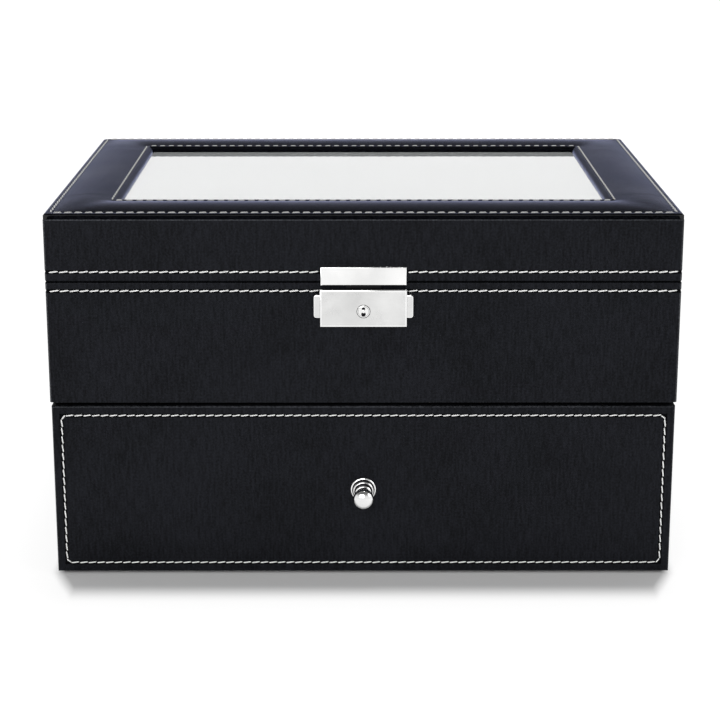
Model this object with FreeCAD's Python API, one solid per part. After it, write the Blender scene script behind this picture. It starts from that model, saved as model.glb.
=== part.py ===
import FreeCAD, Part
import math
import os

from FreeCAD import Vector

# Watch box: a leather-covered case with a drawer below, an upper tray under a hinged window lid,
# and a press lock on the front. Millimetres, +X right, +Y back, +Z up, origin under the base.

# Outside of the body, over the leather
body_width = 290.0
body_depth = 200.0
corner_radius = 1.5

# Sheet and board thicknesses
leather = 0.8
lining = 0.8
board = 8.2
base_thickness = 6.0
shelf_thickness = 5.0
felt_thickness = 1.0
felt_inset = 2.0

# Levels, from the base up
bay_height = 78.0
compartment_depth = 52.4
seam_gap = 0.4
lid_side_height = 28.8

# Lid top: a rebated board, the padded frame over it and the pane under it
top_board_edge = 1.8
rebate_depth = 2.0
rebate_fit = 0.1
pad_overhang = 0.4
pad_width = 27.0
pad_crown = 3.0
pad_seam_height = 0.9
pad_outer_seam = 3.0
pad_inner_seam = 2.6
pad_bead_across = 0.25
pad_bead_rise = 0.8
glass_thickness = 2.0
glass_lap = 4.0
glass_fit = 0.3
glass_ledge = 3.0

# Dividers and cushions
columns = 5
rows = 2
divider_thickness = 3.2
divider_height = 38.0
lap_fit = 0.1
cushion_height = 42.0
cushion_side_gap = 1.4
cushion_end_gap = 2.7
cushion_lift = 0.3
cushion_end_draw = 0.17
cushion_end_power = 4
cushion_squareness = 2.7
cushion_sides = 20
cushion_stations = (-1.0, -0.8, -0.4, 0.4, 0.8, 1.0)

# Drawer
drawer_front_inset = 0.7
drawer_front_lift = 0.2
drawer_top_gap = 1.4
drawer_stop_gap = 0.3
drawer_back_gap = 1.5
drawer_side_gap = 0.6
drawer_glide_gap = 0.2
drawer_head_gap = 7.0
drawer_side_thickness = 6.0
drawer_bottom_thickness = 3.0

# Knob and its screw
knob_length = 16.0
knob_flange_radius = 6.0
knob_flange_thickness = 1.1
knob_waist_radius = 3.3
knob_ring_radius = 4.9
knob_ring_start = 2.0
knob_ring_width = 1.5
knob_bead_radius = 3.9
knob_bead_start = 4.7
knob_bead_width = 1.1
knob_neck_radius = 2.6
knob_bevel = 0.4
knob_bulb_radius = 4.7
knob_bulb_steps = 12
knob_screw_radius = 1.9
knob_screw_depth = 5.0
knob_head_radius = 3.6
knob_head_height = 2.2
screw_fit = 0.05

# Hinges, let into the seam at the back
hinge_spacing = 170.0
hinge_length = 26.0
leaf_thickness = 1.0
leaf_depth = 7.5
leaf_fit = 0.1
knuckle_radius = 2.0
knuckle_standoff = 0.3
knuckle_gap = 0.2
pin_radius = 1.0
pin_fit = 0.04
lid_opening_angle = 100.0
stop_margin_angle = 0.5
stop_reach = 5.0
stop_thickness = 1.0
stop_gap = 0.35
hinge_screw_spacing = 16.0
hinge_screw_radius = 1.2
hinge_screw_length = 6.0

# Lock on the front of the case
lock_width = 39.8
lock_height = 17.5
lock_below_rim = 2.6
lock_bevel = 0.5
lock_wall = 0.8
lock_plate_thickness = 0.8
lock_gap = 0.3
lock_fit = 0.05
prong_width = 2.4
prong_thickness = 0.8
prong_depth = 6.0
prong_spacing = 30.0
ear_height = 10.7
ear_reach = 2.8
ear_drop = 2.7
ear_thickness = 2.3
ear_radius = 1.2
slider_thickness = 0.6
slider_top_gap = 1.0
slider_side_gap = 0.5
slider_travel = 3.0
nose_reach = 0.7
nose_width = 2.8
nose_height = 1.5
nose_offset = 5.0
nose_above_key = 4.1
spring_thickness = 0.3
spring_width = 2.0
spring_span = 30.0

# Key plug
key_drop = 10.0
plug_radius = 2.4
plug_proud = 0.2
cam_length = 6.4
cam_width = 3.0
cam_thickness = 1.1
cam_room = 0.4
pivot_radius = 1.4
keyway_depth = 1.5
keyway_width = 1.0
keyway_top_radius = 0.75
keyway_top_rise = 1.3
keyway_foot_radius = 1.05
keyway_foot_drop = 1.25
key_post_radius = 0.85

# Hasp on the front of the lid
hasp_width = 39.2
hasp_height = 8.7
hasp_below_rim = 1.1
hasp_thickness = 2.4
hasp_bevel = 0.5
hasp_prong_spacing = 26.0
tongue_width = 16.0
tongue_thickness = 0.9
tongue_below_nose = 1.8
tongue_window_width = 13.0
tongue_window_height = 2.8

# Levels and faces that follow from the sizes above
wall = leather + board
half_width = body_width / 2
half_depth = body_depth / 2
board_half_width = half_width - leather
board_half_depth = half_depth - leather
room_half_width = half_width - wall
room_half_depth = half_depth - wall
front_face = -half_depth
bay_front = -room_half_depth
base_top = felt_thickness + base_thickness
bay_top = base_top + bay_height
shelf_top = bay_top + shelf_thickness
rim = shelf_top + compartment_depth
lid_bottom = rim + seam_gap
lid_shoulder = lid_bottom + lid_side_height
board_top = lid_shoulder + top_board_edge
lid_ceiling = lid_shoulder - rebate_depth

# Overhang for cutting shapes that have to pass a face
beyond = 1.0


def block(x0, x1, y0, y1, z0, z1):
    return Part.makeBox(x1 - x0, y1 - y0, z1 - z0, Vector(x0, y0, z0))


def frame_block(half_x, half_y, z0, z1):
    return block(-half_x, half_x, -half_y, half_y, z0, z1)


def rounded_block(x0, x1, y0, y1, z0, z1, radius):
    """A block with its four upright edges rounded."""
    shape = block(x0, x1, y0, y1, z0, z1)
    upright = [edge for edge in shape.Edges if abs(edge.Vertexes[0].Z - edge.Vertexes[1].Z) > 1e-6]
    return shape.makeFillet(radius, upright)


def rod_x(radius, x0, x1, y, z):
    return Part.makeCylinder(radius, x1 - x0, Vector(x0, y, z), Vector(1, 0, 0))


def rod_y(radius, y0, y1, x, z):
    return Part.makeCylinder(radius, y1 - y0, Vector(x, y0, z), Vector(0, 1, 0))


def arc(start, middle, end):
    return Part.Arc(start, middle, end).toShape()


def line(start, end):
    return Part.LineSegment(start, end).toShape()


def one_solid(shape):
    """The shape with coplanar faces joined."""
    return shape.removeSplitter()


# Hinge places shared by the leaves, pins, screws and pockets
hinge_centres = [-hinge_spacing / 2, hinge_spacing / 2]
hinge_axis_y = half_depth + knuckle_standoff + knuckle_radius
hinge_axis_z = rim + seam_gap / 2
knuckle_length = (hinge_length - 2 * knuckle_gap) / 3
hinge_screw_y = half_depth - leaf_depth / 2


def hinge_screw_places():
    return [centre + side * hinge_screw_spacing / 2 for centre in hinge_centres for side in (-1, 1)]


def hinge_screw(x, face_z, up, grow):
    """A screw sunk flush with face_z and driven upwards where up is 1, downwards where it is -1."""
    return Part.makeCylinder(hinge_screw_radius + grow, hinge_screw_length,
                             Vector(x, hinge_screw_y, face_z), Vector(0, 0, up))


def leaf_pockets(z0, z1):
    """Room for both leaves in the back edge of the case or lid."""
    half = hinge_length / 2 + leaf_fit
    y0 = half_depth - leaf_depth - leaf_fit
    pockets = [block(x - half, x + half, y0, half_depth + beyond, z0, z1) for x in hinge_centres]
    return pockets[0].fuse(pockets[1])


def knuckle_spans(centre):
    """Start and end of the three knuckles along the pin: case, lid, case."""
    start = centre - hinge_length / 2
    step = knuckle_length + knuckle_gap
    return [(start + index * step, start + index * step + knuckle_length) for index in range(3)]


def stop_flange(x0, x1, inner, side):
    """A flange along the barrel: the two leaves' flanges meet when the lid is fully open."""
    low = 0 if side > 0 else -stop_thickness
    plate = block(x0, x1, inner, stop_reach, low, low + stop_thickness)
    angle = side * (lid_opening_angle / 2 + stop_margin_angle)
    plate.rotate(Vector(0, 0, 0), Vector(1, 0, 0), angle)
    plate.translate(Vector(0, hinge_axis_y, hinge_axis_z))
    return plate


def hinge_leaf(centre, side):
    """One leaf with its knuckles: side -1 lies in the case's rim, side 1 in the lid's lower edge."""
    spans = knuckle_spans(centre)
    own_spans = [spans[1]] if side > 0 else [spans[0], spans[2]]
    z0 = lid_bottom if side > 0 else rim - leaf_thickness
    z1 = z0 + leaf_thickness
    x0 = centre - hinge_length / 2
    x1 = centre + hinge_length / 2
    leaf = block(x0, x1, half_depth - leaf_depth, half_depth, z0, z1)
    leaf = leaf.fuse(stop_flange(x0, x1, knuckle_radius + stop_gap, side))
    for start, end in own_spans:
        leaf = leaf.fuse(block(start, end, half_depth, hinge_axis_y, z0, z1))
        leaf = leaf.fuse(rod_x(knuckle_radius, start, end, hinge_axis_y, hinge_axis_z))
        leaf = leaf.fuse(stop_flange(start, end, pin_radius, side))
    leaf = leaf.cut(rod_x(pin_radius + pin_fit, x0 - beyond, x1 + beyond, hinge_axis_y, hinge_axis_z))
    face = lid_bottom if side > 0 else rim
    for x in hinge_screw_places():
        leaf = leaf.cut(hinge_screw(x, face, side, screw_fit))
    return one_solid(leaf)


def hinge_leaves(side):
    return Part.makeCompound([hinge_leaf(centre, side) for centre in hinge_centres])


def hinge_pins():
    half = hinge_length / 2
    pins = [rod_x(pin_radius, x - half, x + half, hinge_axis_y, hinge_axis_z) for x in hinge_centres]
    return Part.makeCompound(pins)


def hinge_screws(side):
    face = lid_bottom if side > 0 else rim
    return Part.makeCompound([hinge_screw(x, face, side, 0) for x in hinge_screw_places()])


# Lock places shared by the lock, the hasp and the holes behind them
lock_top = rim - lock_below_rim
lock_bottom = lock_top - lock_height
lock_middle_z = (lock_top + lock_bottom) / 2
lock_half_width = lock_width / 2
lock_room_half_width = lock_half_width - lock_wall
lock_room_bottom = lock_bottom + lock_wall
lock_room_top = lock_top - lock_wall
plate_face = front_face - lock_plate_thickness
tongue_back = plate_face - lock_gap
tongue_front = tongue_back - tongue_thickness
nose_tip = tongue_front - lock_gap
slider_back = nose_tip - nose_reach
slider_front = slider_back - slider_thickness
cover_back = slider_front - lock_gap
cover_face = cover_back - lock_wall
key_z = lock_top - key_drop
ear_top = lock_top - ear_drop
ear_bottom = ear_top - ear_height
nose_z = key_z + nose_above_key
hasp_bottom = rim - hasp_below_rim
hasp_top = hasp_bottom + hasp_height
hasp_middle_z = (lid_bottom + hasp_top) / 2


def prongs(spacing, z, grow):
    """A pair of flat prongs that go from the front face into the board behind it."""
    half_wide = prong_width / 2 + grow
    half_thick = prong_thickness / 2 + grow
    pair = [block(x - half_thick, x + half_thick, front_face, front_face + prong_depth + grow,
                  z - half_wide, z + half_wide) for x in (-spacing / 2, spacing / 2)]
    return pair[0].fuse(pair[1])


def lock_base_plate():
    half = lock_room_half_width - lock_fit
    plate = block(-half, half, plate_face, front_face, lock_room_bottom + lock_fit, lock_room_top - lock_fit)
    plate = plate.fuse(prongs(prong_spacing, lock_middle_z, 0))
    plate = plate.cut(rod_y(pivot_radius + lock_fit, plate_face - beyond, front_face + beyond, 0, key_z))
    return one_solid(plate)


def lock_cover():
    """A pressed cover, open at the back and the top, with slots for the ears and a hole for the plug."""
    cover = block(-lock_half_width, lock_half_width, cover_face, front_face, lock_bottom, lock_top)
    rim_edges = [edge for edge in cover.Edges
                 if all(abs(vertex.Y - cover_face) < 1e-6 for vertex in edge.Vertexes)]
    cover = cover.makeChamfer(lock_bevel, rim_edges)
    cover = cover.cut(block(-lock_room_half_width, lock_room_half_width, cover_back, front_face + beyond,
                            lock_room_bottom, lock_top + beyond))
    ear_back = slider_front + ear_thickness
    slot = block(-lock_half_width - beyond, lock_half_width + beyond, cover_back, ear_back + lock_gap,
                 ear_bottom - slider_travel - lock_gap, ear_top + lock_gap)
    cover = cover.cut(slot)
    cover = cover.cut(rod_y(plug_radius + lock_fit, cover_face - beyond, cover_back + beyond, 0, key_z))
    return one_solid(cover)


def cam_profile(half_length, half_width, y0, y1):
    """An oblong along Z with round ends, centred on the key plug."""
    straight = half_length - half_width
    shape = block(-half_width, half_width, y0, y1, key_z - straight, key_z + straight)
    for z in (key_z - straight, key_z + straight):
        shape = shape.fuse(rod_y(half_width, y0, y1, 0, z))
    return one_solid(shape)


def lock_slider():
    """The plate behind the cover that carries both ears and the two catch noses."""
    half = lock_room_half_width - slider_side_gap
    plate = block(-half, half, slider_front, slider_back, ear_bottom, lock_room_top - slider_top_gap)
    for side in (-1, 1):
        inner = side * (half - ear_radius)
        outer = side * (lock_half_width + ear_reach)
        ear = rounded_ear(min(inner, outer), max(inner, outer))
        plate = plate.fuse(ear)
        centre = side * nose_offset
        plate = plate.fuse(block(centre - nose_width / 2, centre + nose_width / 2, slider_back, nose_tip,
                                 nose_z, nose_z + nose_height))
    turn_radius = cam_length / 2 + cam_room
    plate = plate.cut(block(-turn_radius, turn_radius, slider_front - beyond, slider_back + nose_reach + beyond,
                            ear_bottom - beyond, key_z + turn_radius + slider_travel))
    return one_solid(plate)


def rounded_ear(x0, x1):
    shape = block(x0, x1, slider_front, slider_front + ear_thickness, ear_bottom, ear_top)
    outer_x = x1 if x1 > 0 else x0
    corners = []
    for edge in shape.Edges:
        first, last = edge.Vertexes[0], edge.Vertexes[1]
        at_end = abs(first.X - outer_x) < 1e-6 and abs(last.X - outer_x) < 1e-6
        if at_end and abs(first.Y - last.Y) > 1e-6:
            corners.append(edge)
    return shape.makeFillet(ear_radius, corners)


def lock_spring():
    """A bowed leaf under the slider: its middle stands on the cover, its ends push the slider up."""
    y0 = slider_front + lock_gap
    ends_z = ear_bottom - lock_fit
    half = spring_span / 2
    middle_z = lock_room_bottom + lock_fit
    upper = arc(Vector(-half, y0, ends_z), Vector(0, y0, middle_z + spring_thickness), Vector(half, y0, ends_z))
    lower = arc(Vector(-half, y0, ends_z - spring_thickness), Vector(0, y0, middle_z),
                Vector(half, y0, ends_z - spring_thickness))
    right = line(Vector(half, y0, ends_z), Vector(half, y0, ends_z - spring_thickness))
    left = line(Vector(-half, y0, ends_z - spring_thickness), Vector(-half, y0, ends_z))
    outline = Part.Wire(Part.__sortEdges__([upper, right, lower, left]))
    return Part.Face(outline).extrude(Vector(0, spring_width, 0))


def lock_plug():
    """The round key plug in the cover, its oblong cam behind and the pivot in the base plate."""
    plug_face = cover_face - plug_proud
    cam_front = cover_back + lock_fit
    cam_back = cam_front + cam_thickness
    plug = rod_y(plug_radius, plug_face, cam_front, 0, key_z)
    plug = plug.fuse(cam_profile(cam_length / 2, cam_width / 2, cam_front, cam_back))
    plug = plug.fuse(rod_y(pivot_radius, cam_front, front_face - lock_fit, 0, key_z))
    opening = plug_face - beyond
    floor = plug_face + keyway_depth
    top_z = key_z + keyway_top_rise
    foot_z = key_z - keyway_foot_drop
    keyway = block(-keyway_width / 2, keyway_width / 2, opening, floor, foot_z, top_z)
    keyway = keyway.fuse(rod_y(keyway_top_radius, opening, floor, 0, top_z))
    keyway = keyway.fuse(rod_y(keyway_foot_radius, opening, floor, 0, foot_z))
    keyway = keyway.cut(rod_y(key_post_radius, opening - beyond, floor + beyond, 0, key_z))
    return one_solid(plug.cut(keyway))


def hasp_plate():
    """The plate on the lid, with the windowed tongue that goes down into the lock."""
    half = hasp_width / 2
    face = front_face - hasp_thickness
    plate = block(-half, half, face, front_face, hasp_bottom, hasp_top)
    front_edges = [edge for edge in plate.Edges
                   if all(abs(vertex.Y - face) < 1e-6 for vertex in edge.Vertexes)]
    plate = plate.makeChamfer(hasp_bevel, front_edges)
    plate = plate.cut(block(-half - beyond, half + beyond, front_face - lock_gap, front_face + beyond,
                            hasp_bottom - beyond, lid_bottom))
    plate = plate.fuse(prongs(hasp_prong_spacing, hasp_middle_z, 0))
    tongue_half = tongue_width / 2
    tip = nose_z - tongue_below_nose
    tongue = block(-tongue_half, tongue_half, tongue_front, tongue_back, tip, hasp_bottom + hasp_bevel)
    window_half = tongue_window_width / 2
    window_z = nose_z - (tongue_window_height - nose_height) / 2
    tongue = tongue.cut(block(-window_half, window_half, tongue_front - beyond, tongue_back + beyond,
                              window_z, window_z + tongue_window_height))
    return one_solid(plate.fuse(tongue))


# Case
def base_felt():
    half_x = half_width - felt_inset
    return block(-half_x, half_x, bay_front + felt_inset, half_depth - felt_inset, 0, felt_thickness)


def base_panel():
    return block(-board_half_width, board_half_width, bay_front, board_half_depth, felt_thickness, base_top)


def side_panel(side):
    inner = side * room_half_width
    outer = side * board_half_width
    return block(min(inner, outer), max(inner, outer), bay_front, room_half_depth, base_top, rim - leather)


def back_panel():
    panel = block(-board_half_width, board_half_width, room_half_depth, board_half_depth,
                  base_top, rim - leather)
    return one_solid(panel.cut(leaf_pockets(rim - leaf_thickness, rim)))


def front_panel():
    panel = block(-board_half_width, board_half_width, -board_half_depth, bay_front,
                  bay_top + leather, rim - leather)
    return one_solid(panel.cut(prongs(prong_spacing, lock_middle_z, screw_fit)))


def shelf_panel():
    return block(-room_half_width, room_half_width, -room_half_depth, room_half_depth, bay_top, shelf_top)


def case_wrap():
    """The case's leather: outside faces, turned over the rim, the front panel's foot and the bay's edge."""
    edge_front = bay_front - leather
    lower = rounded_block(-half_width, half_width, edge_front, half_depth, felt_thickness, bay_top, corner_radius)
    upper = rounded_block(-half_width, half_width, front_face, half_depth, bay_top, rim, corner_radius)
    skin = lower.fuse(upper)
    boards = block(-board_half_width, board_half_width, bay_front, board_half_depth,
                   felt_thickness - beyond, rim - leather)
    front_board = block(-board_half_width, board_half_width, -board_half_depth, bay_front,
                        bay_top + leather, rim - leather)
    tray_mouth = frame_block(room_half_width, room_half_depth, rim - leather - beyond, rim + beyond)
    bay_mouth = block(-room_half_width, room_half_width, edge_front - beyond, bay_front, base_top, bay_top)
    for cutter in (boards, front_board, tray_mouth, bay_mouth):
        skin = skin.cut(cutter)
    skin = skin.cut(leaf_pockets(rim - leaf_thickness, rim + beyond))
    skin = skin.cut(prongs(prong_spacing, lock_middle_z, screw_fit))
    return one_solid(skin)


def tray_lining(half_x, y0, y1, z0, z1):
    """A velvet tray: a floor and four sides."""
    outer = block(-half_x, half_x, y0, y1, z0, z1)
    inner = block(-half_x + lining, half_x - lining, y0 + lining, y1 - lining, z0 + lining, z1 + beyond)
    return outer.cut(inner)


def upper_lining():
    return tray_lining(room_half_width, -room_half_depth, room_half_depth, shelf_top, rim - leather)


# Trays: the room inside each lining, which the dividers and cushions follow
drawer_outer_half = room_half_width - drawer_side_gap
drawer_room_half = drawer_outer_half - drawer_side_thickness
drawer_front_back = bay_front - leather - drawer_stop_gap
drawer_back_face = room_half_depth - drawer_back_gap
drawer_room_back = drawer_back_face - drawer_side_thickness
drawer_foot = base_top + drawer_glide_gap
drawer_floor = drawer_foot + drawer_bottom_thickness
drawer_side_top = bay_top - drawer_head_gap
drawer_front_bottom = felt_thickness + drawer_front_lift
drawer_front_top = bay_top - drawer_top_gap
drawer_front_half = half_width - drawer_front_inset

upper_tray = {"half_x": room_half_width - lining, "front": -room_half_depth + lining,
              "back": room_half_depth - lining, "floor": shelf_top + lining}
drawer_tray = {"half_x": drawer_room_half - lining, "front": drawer_front_back + lining,
               "back": drawer_room_back - lining, "floor": drawer_floor + lining}


def cell_width(tray):
    return (2 * tray["half_x"] - (columns - 1) * divider_thickness) / columns


def cell_length(tray):
    return (tray["back"] - tray["front"] - (rows - 1) * divider_thickness) / rows


cushion_width = min(cell_width(upper_tray), cell_width(drawer_tray)) - 2 * cushion_side_gap
cushion_length = min(cell_length(upper_tray), cell_length(drawer_tray)) - 2 * cushion_end_gap


def strip_starts(first, cell, count):
    """Where each divider begins, between cells of one size."""
    return [first + (index + 1) * cell + index * divider_thickness for index in range(count - 1)]


def dividers(tray):
    """Strips that cross in half laps: long ones from side to side, short ones from front to back."""
    floor = tray["floor"]
    top = floor + divider_height
    middle = floor + divider_height / 2
    across_y = strip_starts(tray["front"], cell_length(tray), rows)
    along_x = strip_starts(-tray["half_x"], cell_width(tray), columns)
    strips = []
    for y in across_y:
        strip = block(-tray["half_x"], tray["half_x"], y, y + divider_thickness, floor, top)
        for x in along_x:
            strip = strip.cut(block(x - lap_fit, x + divider_thickness + lap_fit, y - beyond,
                                    y + divider_thickness + beyond, floor - beyond, middle + lap_fit))
        strips.append(strip)
    for x in along_x:
        strip = block(x, x + divider_thickness, tray["front"], tray["back"], floor, top)
        for y in across_y:
            strip = strip.cut(block(x - beyond, x + divider_thickness + beyond, y - lap_fit,
                                    y + divider_thickness + lap_fit, middle, top + beyond))
        strips.append(strip)
    return Part.makeCompound(strips)


def cushion_section(station):
    """The cushion's oval outline at a station from -1 to 1 along its width, drawn in at the ends."""
    share = 1 - cushion_end_draw * abs(station) ** cushion_end_power
    power = 2 / cushion_squareness
    corners = []
    for index in range(cushion_sides):
        angle = 2 * math.pi * (index + 0.5) / cushion_sides
        across = math.copysign(abs(math.cos(angle)) ** power, math.cos(angle))
        upward = math.copysign(abs(math.sin(angle)) ** power, math.sin(angle))
        corners.append(Vector(station * cushion_width / 2, share * across * cushion_length / 2,
                              share * upward * cushion_height / 2))
    return corners


def flat_face(corners):
    return Part.Face(Part.makePolygon(corners + corners[:1]))


def cushion_form():
    """A watch cushion about its own middle: crowned, with its two ends drawn in."""
    sections = [cushion_section(station) for station in cushion_stations]
    faces = [flat_face(sections[0]), flat_face(sections[-1])]
    for near, far in zip(sections, sections[1:]):
        for index in range(cushion_sides):
            after = (index + 1) % cushion_sides
            faces.append(flat_face([near[index], near[after], far[after], far[index]]))
    return Part.Solid(Part.makeShell(faces))


def cushions(tray):
    """One cushion in each cell, front row first, from left to right."""
    form = cushion_form()
    wide = cell_width(tray)
    long = cell_length(tray)
    placed = []
    for row in range(rows):
        for column in range(columns):
            x = -tray["half_x"] + column * (wide + divider_thickness) + wide / 2
            y = tray["front"] + row * (long + divider_thickness) + long / 2
            z = tray["floor"] + cushion_lift + cushion_height / 2
            piece = form.copy()
            piece.translate(Vector(x, y, z))
            placed.append(piece)
    return placed


# Lid
pad_half_width = half_width + pad_overhang
pad_half_depth = half_depth + pad_overhang
window_half_width = pad_half_width - pad_width
window_half_depth = pad_half_depth - pad_width
glass_half_width = window_half_width + glass_lap
glass_half_depth = window_half_depth + glass_lap


def lid_front_rail():
    rail = block(-board_half_width, board_half_width, -board_half_depth, -room_half_depth,
                 lid_bottom + leather, lid_shoulder)
    return one_solid(rail.cut(prongs(hasp_prong_spacing, hasp_middle_z, screw_fit)))


def lid_back_rail():
    rail = block(-board_half_width, board_half_width, room_half_depth, board_half_depth,
                 lid_bottom + leather, lid_shoulder)
    return one_solid(rail.cut(leaf_pockets(lid_bottom, lid_bottom + leaf_thickness)))


def lid_side_rail(side):
    inner = side * room_half_width
    outer = side * board_half_width
    return block(min(inner, outer), max(inner, outer), -room_half_depth, room_half_depth,
                 lid_bottom + leather, lid_shoulder)


def lid_wrap():
    skin = rounded_block(-half_width, half_width, front_face, half_depth, lid_bottom, lid_shoulder, corner_radius)
    skin = skin.cut(frame_block(board_half_width, board_half_depth, lid_bottom + leather, lid_shoulder + beyond))
    skin = skin.cut(frame_block(room_half_width, room_half_depth, lid_bottom - beyond, lid_shoulder))
    skin = skin.cut(leaf_pockets(lid_bottom - beyond, lid_bottom + leaf_thickness))
    return one_solid(skin.cut(prongs(hasp_prong_spacing, hasp_middle_z, screw_fit)))


def lid_top_board():
    """A rebated board: its edge lies on the rails, its rebate holds the pane."""
    upper = frame_block(pad_half_width - leather, pad_half_depth - leather, lid_shoulder, board_top)
    upper = upper.cut(frame_block(window_half_width + leather, window_half_depth + leather,
                                  lid_shoulder - beyond, board_top + beyond))
    lower = frame_block(room_half_width - rebate_fit, room_half_depth - rebate_fit, lid_ceiling, lid_shoulder)
    lower = lower.cut(frame_block(glass_half_width + glass_fit, glass_half_depth + glass_fit,
                                  lid_ceiling - beyond, lid_shoulder + beyond))
    return one_solid(upper.fuse(lower))


def lid_glass():
    return frame_block(glass_half_width, glass_half_depth, lid_shoulder - glass_thickness, lid_shoulder)


def lid_lining():
    """Velvet inside the lid: four sides and a ceiling whose edge carries the pane."""
    outer = frame_block(room_half_width, room_half_depth, lid_bottom + leather, lid_ceiling)
    inner = frame_block(room_half_width - lining, room_half_depth - lining,
                        lid_bottom, lid_ceiling - lining)
    mouth = frame_block(glass_half_width - glass_ledge, glass_half_depth - glass_ledge,
                        lid_bottom, lid_ceiling + beyond)
    return outer.cut(inner).cut(mouth)


def pad_outline():
    """Section across the padded frame, u from its outer edge inwards, z up."""
    seam_z = board_top + pad_seam_height
    u_out = pad_outer_seam
    u_in = pad_width - pad_inner_seam

    def at(u, z):
        return Vector(u, 0, z)

    bead_z = board_top + pad_bead_rise * pad_seam_height
    outer_bead = arc(at(0, board_top), at(pad_bead_across * u_out, bead_z), at(u_out, seam_z))
    crown = arc(at(u_out, seam_z), at((u_out + u_in) / 2, board_top + pad_crown), at(u_in, seam_z))
    inner_bead = arc(at(u_in, seam_z), at(pad_width - pad_bead_across * pad_inner_seam, bead_z),
                     at(pad_width, board_top))
    corners = [at(pad_width, board_top), at(pad_width, lid_shoulder), at(pad_width - leather, lid_shoulder),
               at(pad_width - leather, board_top), at(leather, board_top), at(leather, lid_shoulder),
               at(0, lid_shoulder), at(0, board_top)]
    skirt = [line(corners[index], corners[index + 1]) for index in range(len(corners) - 1)]
    return Part.Wire([outer_bead, crown, inner_bead] + skirt)


def mitred_bar(half_long, half_across, turn):
    """One bar of the padded frame along X at the front, mitred at both ends, then turned about Z."""
    outline = pad_outline()
    outline.rotate(Vector(0, 0, 0), Vector(0, 0, 1), 90)
    outline.translate(Vector(-half_long, -half_across, 0))
    bar = Part.Face(outline).extrude(Vector(2 * half_long, 0, 0))
    inner_long = half_long - pad_width
    inner_across = half_across - pad_width
    corners = [Vector(-half_long, -half_across, 0), Vector(half_long, -half_across, 0),
               Vector(inner_long, -inner_across, 0), Vector(-inner_long, -inner_across, 0)]
    mitre = Part.Face(Part.makePolygon(corners + corners[:1]))
    mitre = mitre.extrude(Vector(0, 0, board_top + pad_crown + beyond))
    bar = bar.common(mitre)
    bar.rotate(Vector(0, 0, 0), Vector(0, 0, 1), turn)
    return bar


def lid_pad():
    front = mitred_bar(pad_half_width, pad_half_depth, 0)
    right = mitred_bar(pad_half_depth, pad_half_width, 90)
    back = mitred_bar(pad_half_width, pad_half_depth, 180)
    left = mitred_bar(pad_half_depth, pad_half_width, 270)
    return one_solid(front.multiFuse([right, back, left]))


# Drawer
knob_z = (drawer_front_bottom + drawer_front_top) / 2


def drawer_front_panel():
    half = drawer_front_half - leather
    panel = block(-half, half, front_face + leather, drawer_front_back,
                  drawer_front_bottom + leather, drawer_front_top - leather)
    return panel.cut(rod_y(knob_screw_radius + screw_fit, front_face, drawer_front_back + beyond, 0, knob_z))


def drawer_front_wrap():
    """The drawer front's leather: its face and all four edges."""
    skin = block(-drawer_front_half, drawer_front_half, front_face, drawer_front_back,
                 drawer_front_bottom, drawer_front_top)
    rounded = [edge for edge in skin.Edges
               if all(abs(vertex.Y - front_face) < 1e-6 for vertex in edge.Vertexes)]
    skin = skin.makeFillet(leather, rounded)
    half = drawer_front_half - leather
    skin = skin.cut(block(-half, half, front_face + leather, drawer_front_back + beyond,
                          drawer_front_bottom + leather, drawer_front_top - leather))
    return skin.cut(rod_y(knob_screw_radius + screw_fit, front_face - beyond, front_face + 2 * leather, 0, knob_z))


def drawer_side(side):
    inner = side * drawer_room_half
    outer = side * drawer_outer_half
    return block(min(inner, outer), max(inner, outer), drawer_front_back, drawer_back_face,
                 drawer_foot, drawer_side_top)


def drawer_back():
    return block(-drawer_room_half, drawer_room_half, drawer_room_back, drawer_back_face,
                 drawer_foot, drawer_side_top)


def drawer_bottom():
    return block(-drawer_room_half, drawer_room_half, drawer_front_back, drawer_room_back,
                 drawer_foot, drawer_floor)


def drawer_lining():
    skin = tray_lining(drawer_room_half, drawer_front_back, drawer_room_back, drawer_floor, drawer_side_top)
    hole = rod_y(knob_head_radius + screw_fit, drawer_front_back - beyond,
                 drawer_front_back + lining + beyond, 0, knob_z)
    return skin.cut(hole)


def knob():
    """A turned knob: a bevelled flange, a ring, a bead, a neck and a round end."""
    bulb_middle = knob_length - knob_bulb_radius
    flange_top = knob_flange_thickness
    neck_angle = math.asin(knob_neck_radius / knob_bulb_radius)

    def at(radius, out):
        return Vector(radius, front_face - out, 0)

    def collar(radius, start, width, after):
        """A bevelled ring that stands out of the waist, and the radius that follows it."""
        end = start + width
        return [at(knob_waist_radius, start), at(radius - knob_bevel, start), at(radius, start + knob_bevel),
                at(radius, end - knob_bevel), at(radius - knob_bevel, end), at(after, end)]

    turned = [at(0, 0), at(knob_flange_radius, 0), at(knob_flange_radius, flange_top - knob_bevel),
              at(knob_flange_radius - knob_bevel, flange_top), at(knob_waist_radius, flange_top)]
    turned += collar(knob_ring_radius, knob_ring_start, knob_ring_width, knob_waist_radius)
    turned += collar(knob_bead_radius, knob_bead_start, knob_bead_width, knob_neck_radius)
    for step in range(knob_bulb_steps):
        angle = neck_angle + (math.pi - neck_angle) * step / knob_bulb_steps
        turned.append(at(knob_bulb_radius * math.sin(angle), bulb_middle - knob_bulb_radius * math.cos(angle)))
    turned += [at(0, knob_length), at(0, 0)]
    profile = [line(start, end) for start, end in zip(turned, turned[1:])]
    body = Part.Face(Part.Wire(profile)).revolve(Vector(0, 0, 0), Vector(0, 1, 0), 360)
    body.translate(Vector(0, 0, knob_z))
    hole = rod_y(knob_screw_radius + screw_fit, front_face - knob_screw_depth - screw_fit,
                 front_face + beyond, 0, knob_z)
    return body.cut(hole)


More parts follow.
